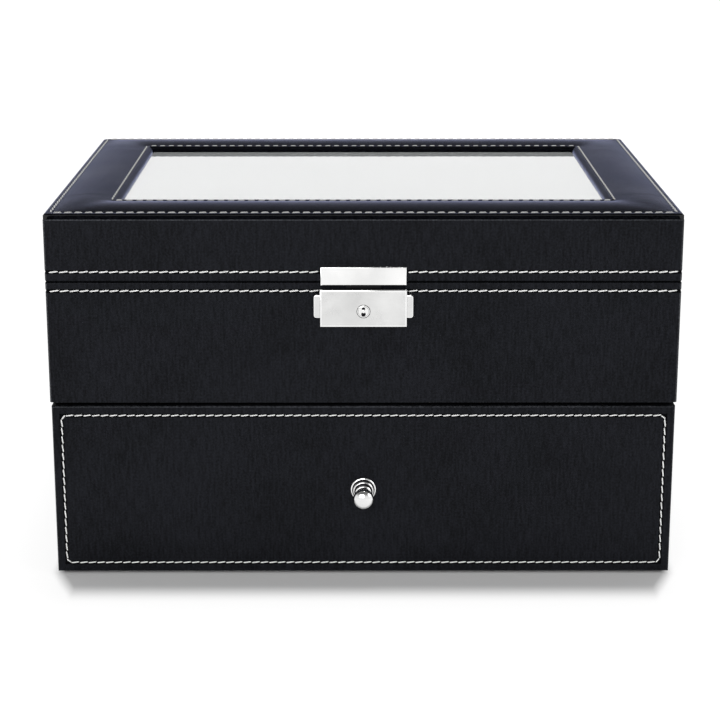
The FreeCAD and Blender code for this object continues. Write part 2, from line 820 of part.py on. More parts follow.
def knob_screw():
    shank = rod_y(knob_screw_radius, front_face - knob_screw_depth, drawer_front_back, 0, knob_z)
    head = rod_y(knob_head_radius, drawer_front_back, drawer_front_back + knob_head_height, 0, knob_z)
    return one_solid(shank.fuse(head))


pieces = {
    "base_felt": base_felt(),
    "base_panel": base_panel(),
    "left_side_panel": side_panel(-1),
    "right_side_panel": side_panel(1),
    "back_panel": back_panel(),
    "front_panel": front_panel(),
    "shelf_panel": shelf_panel(),
    "case_wrap": case_wrap(),
    "upper_lining": upper_lining(),
    "upper_dividers": dividers(upper_tray),
    "hinge_case_leaves": hinge_leaves(-1),
    "hinge_pins": hinge_pins(),
    "hinge_case_screws": hinge_screws(-1),
    "lock_base_plate": lock_base_plate(),
    "lock_cover": lock_cover(),
    "lock_spring": lock_spring(),
    "lock_slider": lock_slider(),
    "lock_plug": lock_plug(),
    "hasp_plate": hasp_plate(),
    "lid_front_rail": lid_front_rail(),
    "lid_back_rail": lid_back_rail(),
    "lid_left_rail": lid_side_rail(-1),
    "lid_right_rail": lid_side_rail(1),
    "lid_wrap": lid_wrap(),
    "lid_top_board": lid_top_board(),
    "lid_pad": lid_pad(),
    "lid_glass": lid_glass(),
    "lid_lining": lid_lining(),
    "hinge_lid_leaves": hinge_leaves(1),
    "hinge_lid_screws": hinge_screws(1),
    "drawer_front_panel": drawer_front_panel(),
    "drawer_front_wrap": drawer_front_wrap(),
    "drawer_left_side": drawer_side(-1),
    "drawer_right_side": drawer_side(1),
    "drawer_back": drawer_back(),
    "drawer_bottom": drawer_bottom(),
    "drawer_lining": drawer_lining(),
    "drawer_dividers": dividers(drawer_tray),
    "knob": knob(),
    "knob_screw": knob_screw(),
}
for prefix, tray in (("upper", upper_tray), ("drawer", drawer_tray)):
    for number, cushion in enumerate(cushions(tray), 1):
        pieces[f"{prefix}_cushion_{number:02d}"] = cushion

os.makedirs("parts", exist_ok=True)
for name, shape in pieces.items():
    shape.exportStep(f"parts/{name}.step")
    box = shape.BoundBox
    print(f"{name:22s} solids {len(shape.Solids)} valid {shape.isValid()} volume {shape.Volume:11.2f}"
          f"  x {box.XMin:8.2f} {box.XMax:8.2f}  y {box.YMin:8.2f} {box.YMax:8.2f}"
          f"  z {box.ZMin:7.2f} {box.ZMax:7.2f}")
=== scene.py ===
import math
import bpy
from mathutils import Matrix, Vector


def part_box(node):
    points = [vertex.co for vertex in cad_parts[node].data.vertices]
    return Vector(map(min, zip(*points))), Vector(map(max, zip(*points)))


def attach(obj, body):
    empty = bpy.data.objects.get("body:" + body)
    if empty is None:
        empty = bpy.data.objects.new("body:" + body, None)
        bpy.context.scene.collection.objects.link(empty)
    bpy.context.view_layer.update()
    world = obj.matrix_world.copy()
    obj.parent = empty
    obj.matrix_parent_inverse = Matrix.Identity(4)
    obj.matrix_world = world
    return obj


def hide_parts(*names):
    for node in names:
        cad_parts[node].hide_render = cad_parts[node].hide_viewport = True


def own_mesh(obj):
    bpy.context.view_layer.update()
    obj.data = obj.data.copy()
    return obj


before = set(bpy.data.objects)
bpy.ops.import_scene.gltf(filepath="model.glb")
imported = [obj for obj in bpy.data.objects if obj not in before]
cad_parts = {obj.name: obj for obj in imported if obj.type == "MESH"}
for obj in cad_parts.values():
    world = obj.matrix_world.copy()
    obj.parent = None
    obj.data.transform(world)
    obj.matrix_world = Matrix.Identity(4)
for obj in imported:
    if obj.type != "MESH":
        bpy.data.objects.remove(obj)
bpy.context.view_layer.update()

from types import SimpleNamespace

import bmesh
import bpy
from bpy.props import FloatProperty, FloatVectorProperty, IntProperty, PointerProperty
from mathutils import Matrix, Vector

bl_info = {
    "name": "Watch Box",
    "version": (1, 0, 0),
    "blender": (4, 5, 0),
    "location": "View3D > Sidebar > Watch Box",
    "description": "Dresses a leather watch box with a window lid, a drawer and a press lock",
    "category": "Add Mesh",
}

MM = 0.001
FRONT = Vector((0, -1, 0))
BACK = Vector((0, 1, 0))
LEFT = Vector((-1, 0, 0))
RIGHT = Vector((1, 0, 0))
UP = Vector((0, 0, 1))
TINY = 1e-6
NEAR = 0.01 * MM
CLOSE = 0.05 * MM
PARALLEL = 0.999
COOL_GLOSS = (0.86, 0.90, 1.0, 1)
COOL_SHEEN = (0.49, 0.53, 0.82, 1)


def millimetres(**values):
    """Fixed lengths with names, given in millimetres."""
    return SimpleNamespace(**{name: value * MM for name, value in values.items()})


def length(label, description, default):
    """A size that a user may change, its default given in millimetres."""
    return FloatProperty(name=label, description=description, default=default * MM, min=0,
                         unit="LENGTH", precision=5)


def fraction(label, description, default):
    return FloatProperty(name=label, description=description, default=default, min=0.1, max=1,
                         subtype="FACTOR")


def colour(label, description, default):
    return FloatVectorProperty(name=label, description=description, default=default, subtype="COLOR",
                               size=3, min=0, max=1)


class WATCHBOX_PG_sizes(bpy.types.PropertyGroup):
    """Sizes that the pieces share"""
    leather: length("Leather", "Thickness of the leather skins", 0.8)
    corner: length("Corner", "Radius of the box's upright corners", 1.6)
    edge: length("Edge", "Radius where the leather turns over an edge", 0.8)
    lid_edge: length("Lid edge", "Radius of the lid's upper edge, under the padded frame", 0.6)
    groove: length("Groove", "Half the width of the groove under a row of stitches", 0.9)
    groove_depth: length("Groove depth", "How far a row of stitches pulls the leather in", 0.3)
    band_pitch: length("Band pitch", "Distance from stitch to stitch on the lid and the case", 4.6)
    drawer_pitch: length("Drawer pitch", "Distance from stitch to stitch on the drawer", 4.05)
    pad_pitch: length("Pad pitch", "Distance from stitch to stitch on the padded frame", 4.7)
    thread_shown: fraction("Thread shown", "Share of each pitch that a stitch takes up", 1.0)
    outer_thread_shown: fraction("Outer thread shown", "The same along the padded frame's edge", 0.78)
    inner_thread_shown: fraction("Inner thread shown", "The same along the window", 0.64)
    band_thread: length("Band thread", "Thickness of the thread on the lid and the case", 0.7)
    drawer_thread: length("Drawer thread", "Thickness of the thread on the drawer", 0.63)
    pad_thread: length("Pad thread", "Thickness of the thread on the padded frame", 0.84)
    stitch_slant: FloatProperty(name="Stitch slant", description="Slope of each stitch along its row",
                                default=math.radians(8), subtype="ANGLE")
    lid_drop: length("Lid drop", "How far the lid's leather hangs under the CAD lid, towards the rim", 0.35)
    lid_row: length("Lid row", "Height of the lid's row of stitches over the lid's lower edge", 4.3)
    case_row: length("Case row", "Depth of the case's row of stitches under the rim", 4.2)
    drawer_row: length("Drawer row", "Distance of the drawer's stitches from the front's edge", 4.5)
    drawer_turn: length("Drawer turn", "Where the drawer's stitches turn, from each corner", 1.7)
    drawer_drop: length("Drawer drop", "How far the drawer's leather ends under the CAD front's top", 0.5)
    pad_tuck: length("Pad tuck", "How far the padded frame stands back from the CAD pad's edge", 0.6)
    pad_width: length("Pad width", "Width of the padded frame from its edge to the window", 30.8)
    pad_outer_row: length("Pad outer row", "Distance of the outer stitches from the pad's edge", 2.9)
    pad_inner_row: length("Pad inner row", "Distance of the inner stitches from the window", 3.2)
    pad_outer_seam: length("Pad outer seam", "Height of the outer stitches over the top board", 0.4)
    pad_inner_seam: length("Pad inner seam", "Height of the inner stitches over the top board", 0.9)
    pad_crown: length("Pad crown", "Height of the stuffing over the line between the stitches", 1.4)
    outer_rise: length("Outer rise", "How far the outer stitches stand out of their seam", 0.12)
    inner_rise: length("Inner rise", "How far the inner stitches stand out of their seam", 0.25)
    # Width of the band of painted shade beside the padded frame's inner stitches
    pad_crease: length("Pad crease", "Width of the dark crease beside the inner stitches", 0.7)
    pad_corner: length("Pad corner", "Radius of the padded frame's corners", 2.5)
    pad_cells: IntProperty(name="Pad cells", description="Quads across the padded frame", default=12, min=4)
    pane_step: length("Pane step", "Height of the pane's face over its edge", 0.3)
    pane_lap: length("Pane lap", "Width of the pane's edge under the top board and the padded frame", 9.0)
    hinge_length: length("Hinge length", "Length of each hinge along its pin", 26.0)


class WATCHBOX_PG_colours(bpy.types.PropertyGroup):
    """Colours of the finishes"""
    leather: colour("Leather", "Black leather of the case, lid and drawer", (0.0044, 0.0047, 0.0061))
    pad: colour("Pad leather", "Smooth black leather of the padded frame", (0.0022, 0.0024, 0.0034))
    thread: colour("Thread", "Off-white sewing thread", (0.90, 0.90, 0.89))
    velvet: colour("Velvet", "Pale velvet of the linings and cushions", (0.66, 0.64, 0.61))
    felt: colour("Felt", "Black felt under the base", (0.012, 0.012, 0.013))
    fibreboard: colour("Fibreboard", "Plain fibreboard", (0.36, 0.25, 0.15))
    paper: colour("Paper", "Black paper over the drawer's boards", (0.018, 0.018, 0.019))
    nickel: colour("Nickel", "Polished plating", (0.86, 0.86, 0.855))
    satin: colour("Satin nickel", "Satin plating", (0.67, 0.67, 0.665))
    hinge: colour("Hinge steel", "Brushed steel of the hinges and screws", (0.40, 0.40, 0.40))
    # Blackened steel of the lock's inner parts, also used as painted shade in the hasp's gap, round the
    # plug, in the keyhole and in the knob's grooves
    steel: colour("Steel", "Blackened steel inside the lock", (0.012, 0.012, 0.013))
    # Painted highlight: leather made paler along the rounded edges, where light catches them
    worn: colour("Worn leather", "Leather rubbed paler along the edges", (0.020, 0.021, 0.024))
    pane: colour("Pane", "Tint of the window", (0.90, 0.92, 0.92))


def clear():
    """Leaves edit mode with nothing selected."""
    if bpy.context.mode != "OBJECT":
        bpy.ops.object.mode_set(mode="OBJECT")
    bpy.ops.object.select_all(action="DESELECT")


def only(obj):
    """Makes obj the one selected and active object."""
    clear()
    obj.select_set(True)
    bpy.context.view_layer.objects.active = obj


def taken(name):
    """Names the primitive just added and moves its place into its mesh."""
    obj = bpy.context.object
    obj.name = name
    obj.data.name = name
    bpy.ops.object.transform_apply(location=True, rotation=True, scale=True)
    return obj


def block(name, low, high):
    """A box primitive between two corners."""
    clear()
    low = Vector(low)
    high = Vector(high)
    bpy.ops.mesh.primitive_cube_add(size=1, location=(low + high) / 2, scale=high - low)
    return taken(name)


def rod(name, radius, y0, y1, z, sides):
    """A cylinder along Y in the middle of the front."""
    clear()
    bpy.ops.mesh.primitive_cylinder_add(vertices=sides, radius=radius, depth=y1 - y0,
                                        location=(0, (y0 + y1) / 2, z), rotation=(math.pi / 2, 0, 0))
    return taken(name)


def pick(obj, kind, test):
    """Enters edit mode on obj and selects the vertices, edges or faces that pass a test."""
    only(obj)
    bpy.ops.object.mode_set(mode="EDIT")
    bpy.ops.mesh.select_mode(type=kind)
    bpy.ops.mesh.select_all(action="DESELECT")
    mesh = bmesh.from_edit_mesh(obj.data)
    mesh.normal_update()
    parts = {"VERT": mesh.verts, "EDGE": mesh.edges, "FACE": mesh.faces}[kind]
    found = [part for part in parts if test(part)]
    if not found:
        raise RuntimeError(f"{obj.name}: nothing to select among its {kind.lower()} parts")
    for part in found:
        part.select_set(True)
    mesh.select_flush_mode()
    bmesh.update_edit_mesh(obj.data)


def done():
    bpy.ops.object.mode_set(mode="OBJECT")


def extrude(step):
    """Extrudes what is selected by a step."""
    bpy.ops.mesh.extrude_region_move(TRANSFORM_OT_translate={"value": step})


def modify(obj, kind, **settings):
    """Adds a modifier to obj, sets it and applies it."""
    only(obj)
    bpy.ops.object.modifier_add(type=kind)
    modifier = obj.modifiers[-1]
    for key, value in settings.items():
        setattr(modifier, key, value)
    bpy.ops.object.modifier_apply(modifier=modifier.name)


def everything(part):
    return True


def corners(part):
    return [part] if isinstance(part, bmesh.types.BMVert) else part.verts


def level(axis, value):
    """A test for parts whose vertices all lie at one value along an axis."""
    return lambda part: all(abs(vertex.co[axis] - value) < TINY for vertex in corners(part))


def level_face(axis, value):
    """A test for faces of a finished mesh whose middle lies at one value along an axis."""
    return lambda face: abs(face.center[axis] - value) < NEAR


def runs_along(axis):
    """A test for edges parallel to an axis."""
    def test(edge):
        step = edge.verts[1].co - edge.verts[0].co
        return abs(step[axis]) > PARALLEL * step.length
    return test


def both(first, second):
    return lambda part: first(part) and second(part)


def either(first, second):
    return lambda part: first(part) or second(part)


def on_edge(face, straight=0.93):
    """Whether a face is part of a rounded edge: flat faces and grooves lie straighter to an axis."""
    return max(abs(part) for part in face.normal) < straight


def in_crease(row, seam, sizes):
    """A test for faces that get painted shade: those in the groove under a row of stitches, and those that
    turn in at the lid's seam.
    """
    def test(face):
        slope = abs(face.normal.z)
        in_groove = abs(face.center.z - row) < sizes.groove and slope > 0.1
        return in_groove or abs(face.center.z - seam) < sizes.edge and 0.5 < slope < 0.99
    return test


def round_edges(obj, test, radius, segments):
    pick(obj, "EDGE", test)
    bpy.ops.mesh.bevel(offset=radius, segments=segments, affect="EDGES", profile=0.5)
    done()


def slice_level(obj, axis, values):
    """Cuts obj's faces all round at values along an axis."""
    normal = Vector((0, 0, 0))
    normal[axis] = 1
    for value in values:
        pick(obj, "FACE", everything)
        bpy.ops.mesh.bisect(plane_co=value * normal, plane_no=normal)
        done()


def press_row(obj, z, sizes):
    """Sinks a groove round obj at a height, where a row of stitches pulls the leather in."""
    slice_level(obj, 2, (z - sizes.groove, z, z + sizes.groove))
    pick(obj, "VERT", level(2, z))
    bpy.ops.transform.shrink_fatten(value=-sizes.groove_depth)
    done()


def carve(obj, cutters):
    """Cuts each cutter out of obj."""
    for cutter in cutters:
        modify(obj, "BOOLEAN", operation="DIFFERENCE", solver="EXACT", object=cutter)
        only(cutter)
        bpy.ops.object.delete()


def soften(obj):
    """Applies one level of subdivision."""
    modify(obj, "SUBSURF", levels=1, render_levels=1)


def joined(name, pieces):
    """Joins pieces into the first of them."""
    only(pieces[0])
    for piece in pieces:
        piece.select_set(True)
    bpy.ops.object.join()
    pieces[0].name = name
    pieces[0].data.name = name
    return pieces[0]


def set_finish(mesh, finish):
    mesh.materials.clear()
    mesh.materials.append(FINISHES[finish])


def dress(obj, body, finish, nodes=(), angle=35):
    """Shades obj, gives it its finish and sets it on its body, in place of CAD nodes."""
    only(obj)
    bpy.ops.object.shade_smooth_by_angle(angle=math.radians(angle))
    modify(obj, "WEIGHTED_NORMAL", keep_sharp=True)
    set_finish(obj.data, finish)
    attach(obj, body)
    if nodes:
        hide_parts(*nodes)
    return obj


def second_finish(obj, finish, test):
    """Gives the faces that pass a test another finish."""
    obj.data.materials.append(FINISHES[finish])
    for face in obj.data.polygons:
        if test(face):
            face.material_index = len(obj.data.materials) - 1


# Finishes
class Nodes:
    """A node tree under construction."""

    def __init__(self, tree):
        self.tree = tree

    def add(self, kind, **settings):
        node = self.tree.nodes.new(kind)
        for key, value in settings.items():
            if key in node.inputs:
                node.inputs[key].default_value = value
            else:
                setattr(node, key, value)
        return node

    def link(self, source, target):
        self.tree.links.new(source, target)

    def maths(self, operation, first, second):
        node = self.add("ShaderNodeMath", operation=operation)
        self.link(first, node.inputs[0])
        self.link(second, node.inputs[1])
        return node.outputs["Value"]

    def spread(self, source, low, high, from_low=0.3, from_high=0.7, ramp="LINEAR"):
        """Maps a pattern to a range of values."""
        limits = {"From Min": from_low, "From Max": from_high, "To Min": low, "To Max": high}
        node = self.add("ShaderNodeMapRange", interpolation_type=ramp, **limits)
        self.link(source, node.inputs["Value"])
        return node.outputs["Result"]

    def overlay(self, below, above, share):
        """Lays one shader over another where share is above zero."""
        node = self.add("ShaderNodeMixShader")
        self.link(share, node.inputs["Fac"])
        self.link(below, node.inputs[1])
        self.link(above, node.inputs[2])
        return node.outputs["Shader"]


class Recipe(Nodes):
    """A material under construction, with its main shader."""

    def __init__(self, name, **settings):
        self.material = bpy.data.materials.new(name)
        self.material.use_nodes = True
        super().__init__(self.material.node_tree)
        self.shader = self.tree.nodes["Principled BSDF"]
        self.place = self.add("ShaderNodeTexCoord").outputs["Object"]
        for socket, value in settings.items():
            self.shader.inputs[socket.replace("_", " ")].default_value = value

    def noise(self, scale, detail, stretch=None):
        """Noise all over, or drawn out by a scale along each axis."""
        node = self.add("ShaderNodeTexNoise", Scale=scale, Detail=detail)
        place = self.place
        if stretch:
            mapping = self.add("ShaderNodeMapping", Scale=stretch)
            self.link(place, mapping.inputs["Vector"])
            place = mapping.outputs["Vector"]
        self.link(place, node.inputs["Vector"])
        return node.outputs["Fac"]

    def cells(self, scale):
        node = self.add("ShaderNodeTexVoronoi", Scale=scale, feature="DISTANCE_TO_EDGE")
        self.link(self.place, node.inputs["Vector"])
        return node.outputs["Distance"]

    def blend(self, first, second, share):
        """Mixes two patterns."""
        node = self.add("ShaderNodeMix", data_type="FLOAT")
        node.inputs["Factor"].default_value = share
        self.link(first, node.inputs["A"])
        self.link(second, node.inputs["B"])
        return node.outputs["Result"]

    def tint(self, source, dark, light):
        """Maps a pattern to colours between dark and light."""
        node = self.add("ShaderNodeMix", data_type="RGBA")
        for socket in node.inputs:
            if socket.type == "RGBA":
                socket.default_value = (*dark, 1) if socket.name == "A" else (*light, 1)
        self.link(source, node.inputs["Factor"])
        return next(socket for socket in node.outputs if socket.type == "RGBA")

    def paint(self, pattern, shade, dark, light, from_low=0.3, from_high=0.7):
        """Colours the surface by a pattern, between two strengths of a shade."""
        share = self.spread(pattern, 0, 1, from_low, from_high)
        self.feed(self.tint(share, scaled(shade, dark), scaled(shade, light)), "Base Color")

    def bump(self, layers):
        """Stacks bumps: each layer is a pattern, its height in millimetres and its strength."""
        below = None
        for pattern, height, strength in layers:
            node = self.add("ShaderNodeBump", Distance=height * MM, Strength=strength)
            self.link(pattern, node.inputs["Height"])
            if below:
                self.link(below, node.inputs["Normal"])
            below = node.outputs["Normal"]
        self.feed(below, "Normal")

    def feed(self, source, socket):
        self.link(source, self.shader.inputs[socket])


def scaled(shade, factor):
    return tuple(min(1.0, part * factor) for part in shade)


def leather_finish(name, shade, grain=1000.0, streak=0.3, gloss=0.1, roughness=0.5, sheen=0.0):
    """Leather: a fine pebbled grain, upright streaks of dye and uneven gloss."""
    recipe = Recipe(name, Specular_IOR_Level=gloss, Specular_Tint=COOL_GLOSS, Sheen_Weight=sheen,
                    Sheen_Roughness=0.22, Sheen_Tint=COOL_SHEEN)
    streaks = recipe.noise(1.0, 3.0, (900, 900, 130))
    pebbles = recipe.noise(grain, 2.0)
    clouds = recipe.noise(34.0, 4.0)
    mottle = recipe.blend(pebbles, streaks, streak)
    recipe.paint(recipe.blend(mottle, clouds, 0.2), shade, 0.25, 2.0, 0.40, 0.60)
    recipe.feed(recipe.spread(clouds, roughness - 0.06, roughness + 0.08), "Roughness")
    recipe.bump([(recipe.cells(grain), 0.12, 0.4), (mottle, 0.2, 0.35), (clouds, 0.6, 0.08)])
    return recipe.material


def velvet_finish(name, shade):
    """Short-pile velvet: brushed clouds of pile and a soft sheen."""
    recipe = Recipe(name, Roughness=0.95, Specular_IOR_Level=0.1, Sheen_Weight=0.35, Sheen_Roughness=0.35)
    brushed = recipe.noise(26.0, 4.0)
    recipe.paint(brushed, shade, 0.86, 1.06)
    recipe.bump([(recipe.noise(1900.0, 2.0), 0.2, 0.5), (brushed, 0.8, 0.12)])
    return recipe.material


def felt_finish(name, shade):
    """Felt: matted fibres."""
    recipe = Recipe(name, Roughness=1.0, Specular_IOR_Level=0.05)
    fibres = recipe.noise(1400.0, 4.0)
    recipe.paint(fibres, shade, 0.6, 1.8)
    recipe.bump([(fibres, 0.4, 0.7)])
    return recipe.material


def board_finish(name, shade):
    """Fibreboard: fine flecks in a plain brown."""
    recipe = Recipe(name, Roughness=0.8, Specular_IOR_Level=0.2)
    flecks = recipe.noise(900.0, 6.0)
    recipe.paint(flecks, shade, 0.75, 1.2, 0.35, 0.65)
    recipe.bump([(flecks, 0.1, 0.3)])
    return recipe.material


def paper_finish(name, shade):
    """Black paper with a fine linen press."""
    recipe = Recipe(name, Roughness=0.72, Specular_IOR_Level=0.2)
    across = recipe.noise(1.0, 1.0, (2200, 2200, 160))
    along = recipe.noise(1.0, 1.0, (160, 160, 2200))
    press = recipe.maths("ADD", across, along)
    recipe.paint(press, shade, 0.7, 1.3, 0.7, 1.3)
    recipe.bump([(press, 0.1, 0.35)])
    return recipe.material


def thread_finish(name, shade):
    """Sewing thread: a diagonal twist."""
    recipe = Recipe(name, Roughness=0.75, Specular_IOR_Level=0.25, Sheen_Weight=0.2)
    wave = recipe.add("ShaderNodeTexWave", Scale=520.0, Distortion=1.5, bands_direction="DIAGONAL")
    recipe.link(recipe.place, wave.inputs["Vector"])
    twist = wave.outputs["Fac"]
    recipe.feed(recipe.tint(twist, scaled(shade, 0.85), shade), "Base Color")
    recipe.bump([(twist, 0.08, 0.4)])
    return recipe.material


def metal_finish(name, shade, roughness, brushed=0.0):
    """Plating: brushed finely along X where brushed is above zero."""
    recipe = Recipe(name, Metallic=1.0)
    wear = recipe.noise(150.0, 5.0)
    cast = recipe.noise(45.0, 1.0)
    recipe.paint(recipe.blend(cast, wear, 0.3), shade, 0.9, 1.06, 0.35, 0.65)
    recipe.feed(recipe.spread(wear, roughness * 0.8, roughness * 1.25), "Roughness")
    if brushed:
        recipe.bump([(recipe.noise(1.0, 3.0, (60, 2600, 2600)), 0.02, brushed)])
    return recipe.material


def pane_finish(name, shade):
    """Clear glass with the faint milkiness of wiped dust."""
    recipe = Recipe(name, Roughness=0.02, IOR=1.5, Transmission_Weight=0.6, Coat_Weight=1.0,
                    Coat_Roughness=0.02, Coat_IOR=1.6)
    recipe.paint(recipe.noise(9.0, 2.0), shade, 0.97, 1.0)
    return recipe.material


FINISHES = {}


def make_finishes(shades):
    # Painted shade: a darker leather for the grooves under the stitches, the seam under the lid and the
    # padded frame's inner crease
    crease = scaled(shades.leather, 0.25)
    # Painted shade: a darker copy of the thread for the padded frame's stitches, which sink into the pad
    painted_shade_thread = scaled(shades.thread, 0.48)
    FINISHES.update(
        leather=leather_finish("black_leather", shades.leather, streak=0.5),
        pad=leather_finish("pad_leather", shades.pad, grain=1500.0, streak=0.0, gloss=0.006,
                           roughness=0.4, sheen=0.9),
        crease=leather_finish("creased_leather", crease, gloss=0.03, roughness=0.6),
        # Painted highlight for the rounded edges of the leather
        worn=leather_finish("worn_leather", shades.worn, gloss=0.2, roughness=0.45),
        thread=thread_finish("sewing_thread", shades.thread),
        pad_thread=thread_finish("pad_thread", painted_shade_thread),
        velvet=velvet_finish("pale_velvet", shades.velvet),
        felt=felt_finish("black_felt", shades.felt),
        board=board_finish("fibreboard", shades.fibreboard),
        paper=paper_finish("black_paper", shades.paper),
        nickel=metal_finish("polished_nickel", shades.nickel, roughness=0.09),
        satin=metal_finish("satin_nickel", shades.satin, roughness=0.3, brushed=0.25),
        hinge=metal_finish("brushed_steel", shades.hinge, roughness=0.34, brushed=0.3),
        # Dark steel, also used as painted shade in gaps and hollows
        steel=metal_finish("dark_steel", shades.steel, roughness=0.4),
        pane=pane_finish("window_glass", shades.pane),
    )


def hinge_places(sizes):
    """Middles of the two hinges along the back edge."""
    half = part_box("hinge_pins")[1].x - sizes.hinge_length / 2
    return (-half, half)


LEAF_PLAY = 0.1 * MM
BEHIND = 0.2


def leaf_cutters(sizes, z0, z1):
    """Blocks that cut the hinge leaves' pockets, from their front to behind the box."""
    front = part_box("hinge_case_leaves")[0].y - LEAF_PLAY
    half = sizes.hinge_length / 2 + LEAF_PLAY
    return [block("leaf_pocket", (x - half, front, z0), (x + half, BEHIND, z1))
            for x in hinge_places(sizes)]


class WATCHBOX_OT_case_leather(bpy.types.Operator):
    """Leather over the case: its outside, its rim and the edges round the drawer bay"""
    bl_idname = "watch_box.case_leather"
    bl_label = "Case leather"

    def execute(self, context):
        sizes = context.scene.watch_box_sizes
        low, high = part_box("case_wrap")
        front_low, front_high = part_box("front_panel")
        side_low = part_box("left_side_panel")[0]
        side_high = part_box("right_side_panel")[1]
        base_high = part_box("base_panel")[1]
        room_low, room_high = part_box("upper_lining")
        foot = front_low.z - sizes.leather
        bay_front = side_low.y - sizes.leather
        skin = block("case_leather", (low.x, low.y, foot), high)
        pick(skin, "FACE", level(2, foot))
        bpy.ops.mesh.bisect(plane_co=(0, bay_front, 0), plane_no=(0, 1, 0))
        done()
        pick(skin, "FACE", both(level(2, foot), lambda face: face.calc_center_median().y > bay_front))
        extrude((0, 0, low.z - foot))
        done()
        round_edges(skin, runs_along(2), sizes.corner, 4)
        round_edges(skin, level(2, high.z), sizes.edge, 3)
        round_edges(skin, both(level(2, foot), level(1, low.y)), sizes.edge, 3)
        press_row(skin, high.z - sizes.case_row, sizes)
        mouth = [
            block("boards", (side_low.x, side_low.y, low.z - 2 * MM),
                  (side_high.x, base_high.y, side_high.z)),
            block("front_board", front_low, (front_high.x, side_low.y + MM, front_high.z)),
            block("tray_mouth", (room_low.x, room_low.y, side_high.z - MM),
                  (room_high.x, room_high.y, high.z + MM)),
            block("bay_mouth", (room_low.x, low.y - MM, base_high.z),
                  (room_high.x, side_low.y + MM, foot)),
        ]
        carve(skin, mouth + leaf_cutters(sizes, high.z - MM, high.z + MM))
        dress(skin, "case", "leather", ["case_wrap"])
        # Painted highlight on the rounded edges, kept off the rim
        second_finish(skin, "worn", lambda face: on_edge(face) and face.center.z < high.z - sizes.edge)
        # Painted shade in the groove under the stitches and where the leather turns in at the seam under the
        # lid
        second_finish(skin, "crease", in_crease(high.z - sizes.case_row, high.z, sizes))
        return {"FINISHED"}


class WATCHBOX_OT_lid_leather(bpy.types.Operator):
    """Leather over the lid's four sides and its lower edge"""
    bl_idname = "watch_box.lid_leather"
    bl_label = "Lid leather"

    def execute(self, context):
        sizes = context.scene.watch_box_sizes
        low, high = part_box("lid_wrap")
        rail_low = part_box("lid_front_rail")[0]
        room_low, room_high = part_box("lid_lining")
        foot = low.z - sizes.lid_drop
        skin = block("lid_leather", (low.x, low.y, foot), high)
        round_edges(skin, runs_along(2), sizes.corner, 4)
        round_edges(skin, level(2, foot), sizes.edge, 3)
        round_edges(skin, level(2, high.z), sizes.lid_edge, 2)
        press_row(skin, low.z + sizes.lid_row, sizes)
        inside = [
            block("boards", rail_low, (-rail_low.x, -rail_low.y, high.z + MM)),
            block("mouth", (room_low.x, room_low.y, low.z - MM), (room_high.x, room_high.y, high.z)),
        ]
        carve(skin, inside + leaf_cutters(sizes, low.z - MM, low.z + MM))
        dress(skin, "lid", "leather", ["lid_wrap"])
        # Painted highlight on the rounded edges, kept off the lower edge
        second_finish(skin, "worn", lambda face: on_edge(face) and face.center.z > low.z + sizes.edge)
        # Painted shade in the groove under the stitches and where the leather turns in at the seam over the
        # case
        second_finish(skin, "crease", in_crease(low.z + sizes.lid_row, foot, sizes))
        return {"FINISHED"}


def drawer_face(sizes):
    """Corners of the drawer front's leather, a little under the CAD front's top."""
    low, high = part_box("drawer_front_wrap")
    return low, high - sizes.drawer_drop * UP


class WATCHBOX_OT_drawer_leather(bpy.types.Operator):
    """Leather over the drawer's front, pressed in along its rectangle of stitches"""
    bl_idname = "watch_box.drawer_leather"
    bl_label = "Drawer leather"

    def execute(self, context):
        sizes = context.scene.watch_box_sizes
        low, high = drawer_face(sizes)
        panel_low, panel_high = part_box("drawer_front_panel")
        skin = block("drawer_leather", low, high)
        round_edges(skin, level(1, low.y), sizes.edge, 4)
        pick(skin, "FACE", level(1, low.y))
        for step in (sizes.drawer_row - sizes.edge - sizes.groove, sizes.groove, sizes.groove):
            bpy.ops.mesh.inset(thickness=step)
        done()
        half_x = high.x - sizes.drawer_row
        half_z = (high.z - low.z) / 2 - sizes.drawer_row
        middle = (high.z + low.z) / 2

        def off_row(place):
            return abs(max(abs(place.x) - half_x, abs(place.z - middle) - half_z))

        pick(skin, "VERT", both(level(1, low.y), lambda vertex: off_row(vertex.co) < CLOSE))
        bpy.ops.transform.translate(value=(0, sizes.groove_depth, 0))
        done()
        carve(skin, [block("board", panel_low, (panel_high.x, panel_high.y + MM, panel_high.z))])
        dress(skin, "drawer", "leather", ["drawer_front_wrap"])
        # Painted highlight on the rounded edges
        second_finish(skin, "worn", on_edge)
        # Painted shade in the groove round the drawer's stitches
        second_finish(skin, "crease", lambda face: face.center.y < low.y + sizes.leather
                      and off_row(face.center) < sizes.groove)
        return {"FINISHED"}


def spaced(start, end, count):
    """Evenly spaced values from start to end."""
    return [start + (end - start) * index / count for index in range(count + 1)]


def frame_lines(outer, inner, cells):
    """Grid lines across a frame: cells in each border, and cells as wide as those in between."""
    between = max(2, round(2 * inner / (outer - inner) * cells))
    border = spaced(inner, outer, cells)[1:]
    return spaced(-outer, -inner, cells)[:-1] + spaced(-inner, inner, between) + border


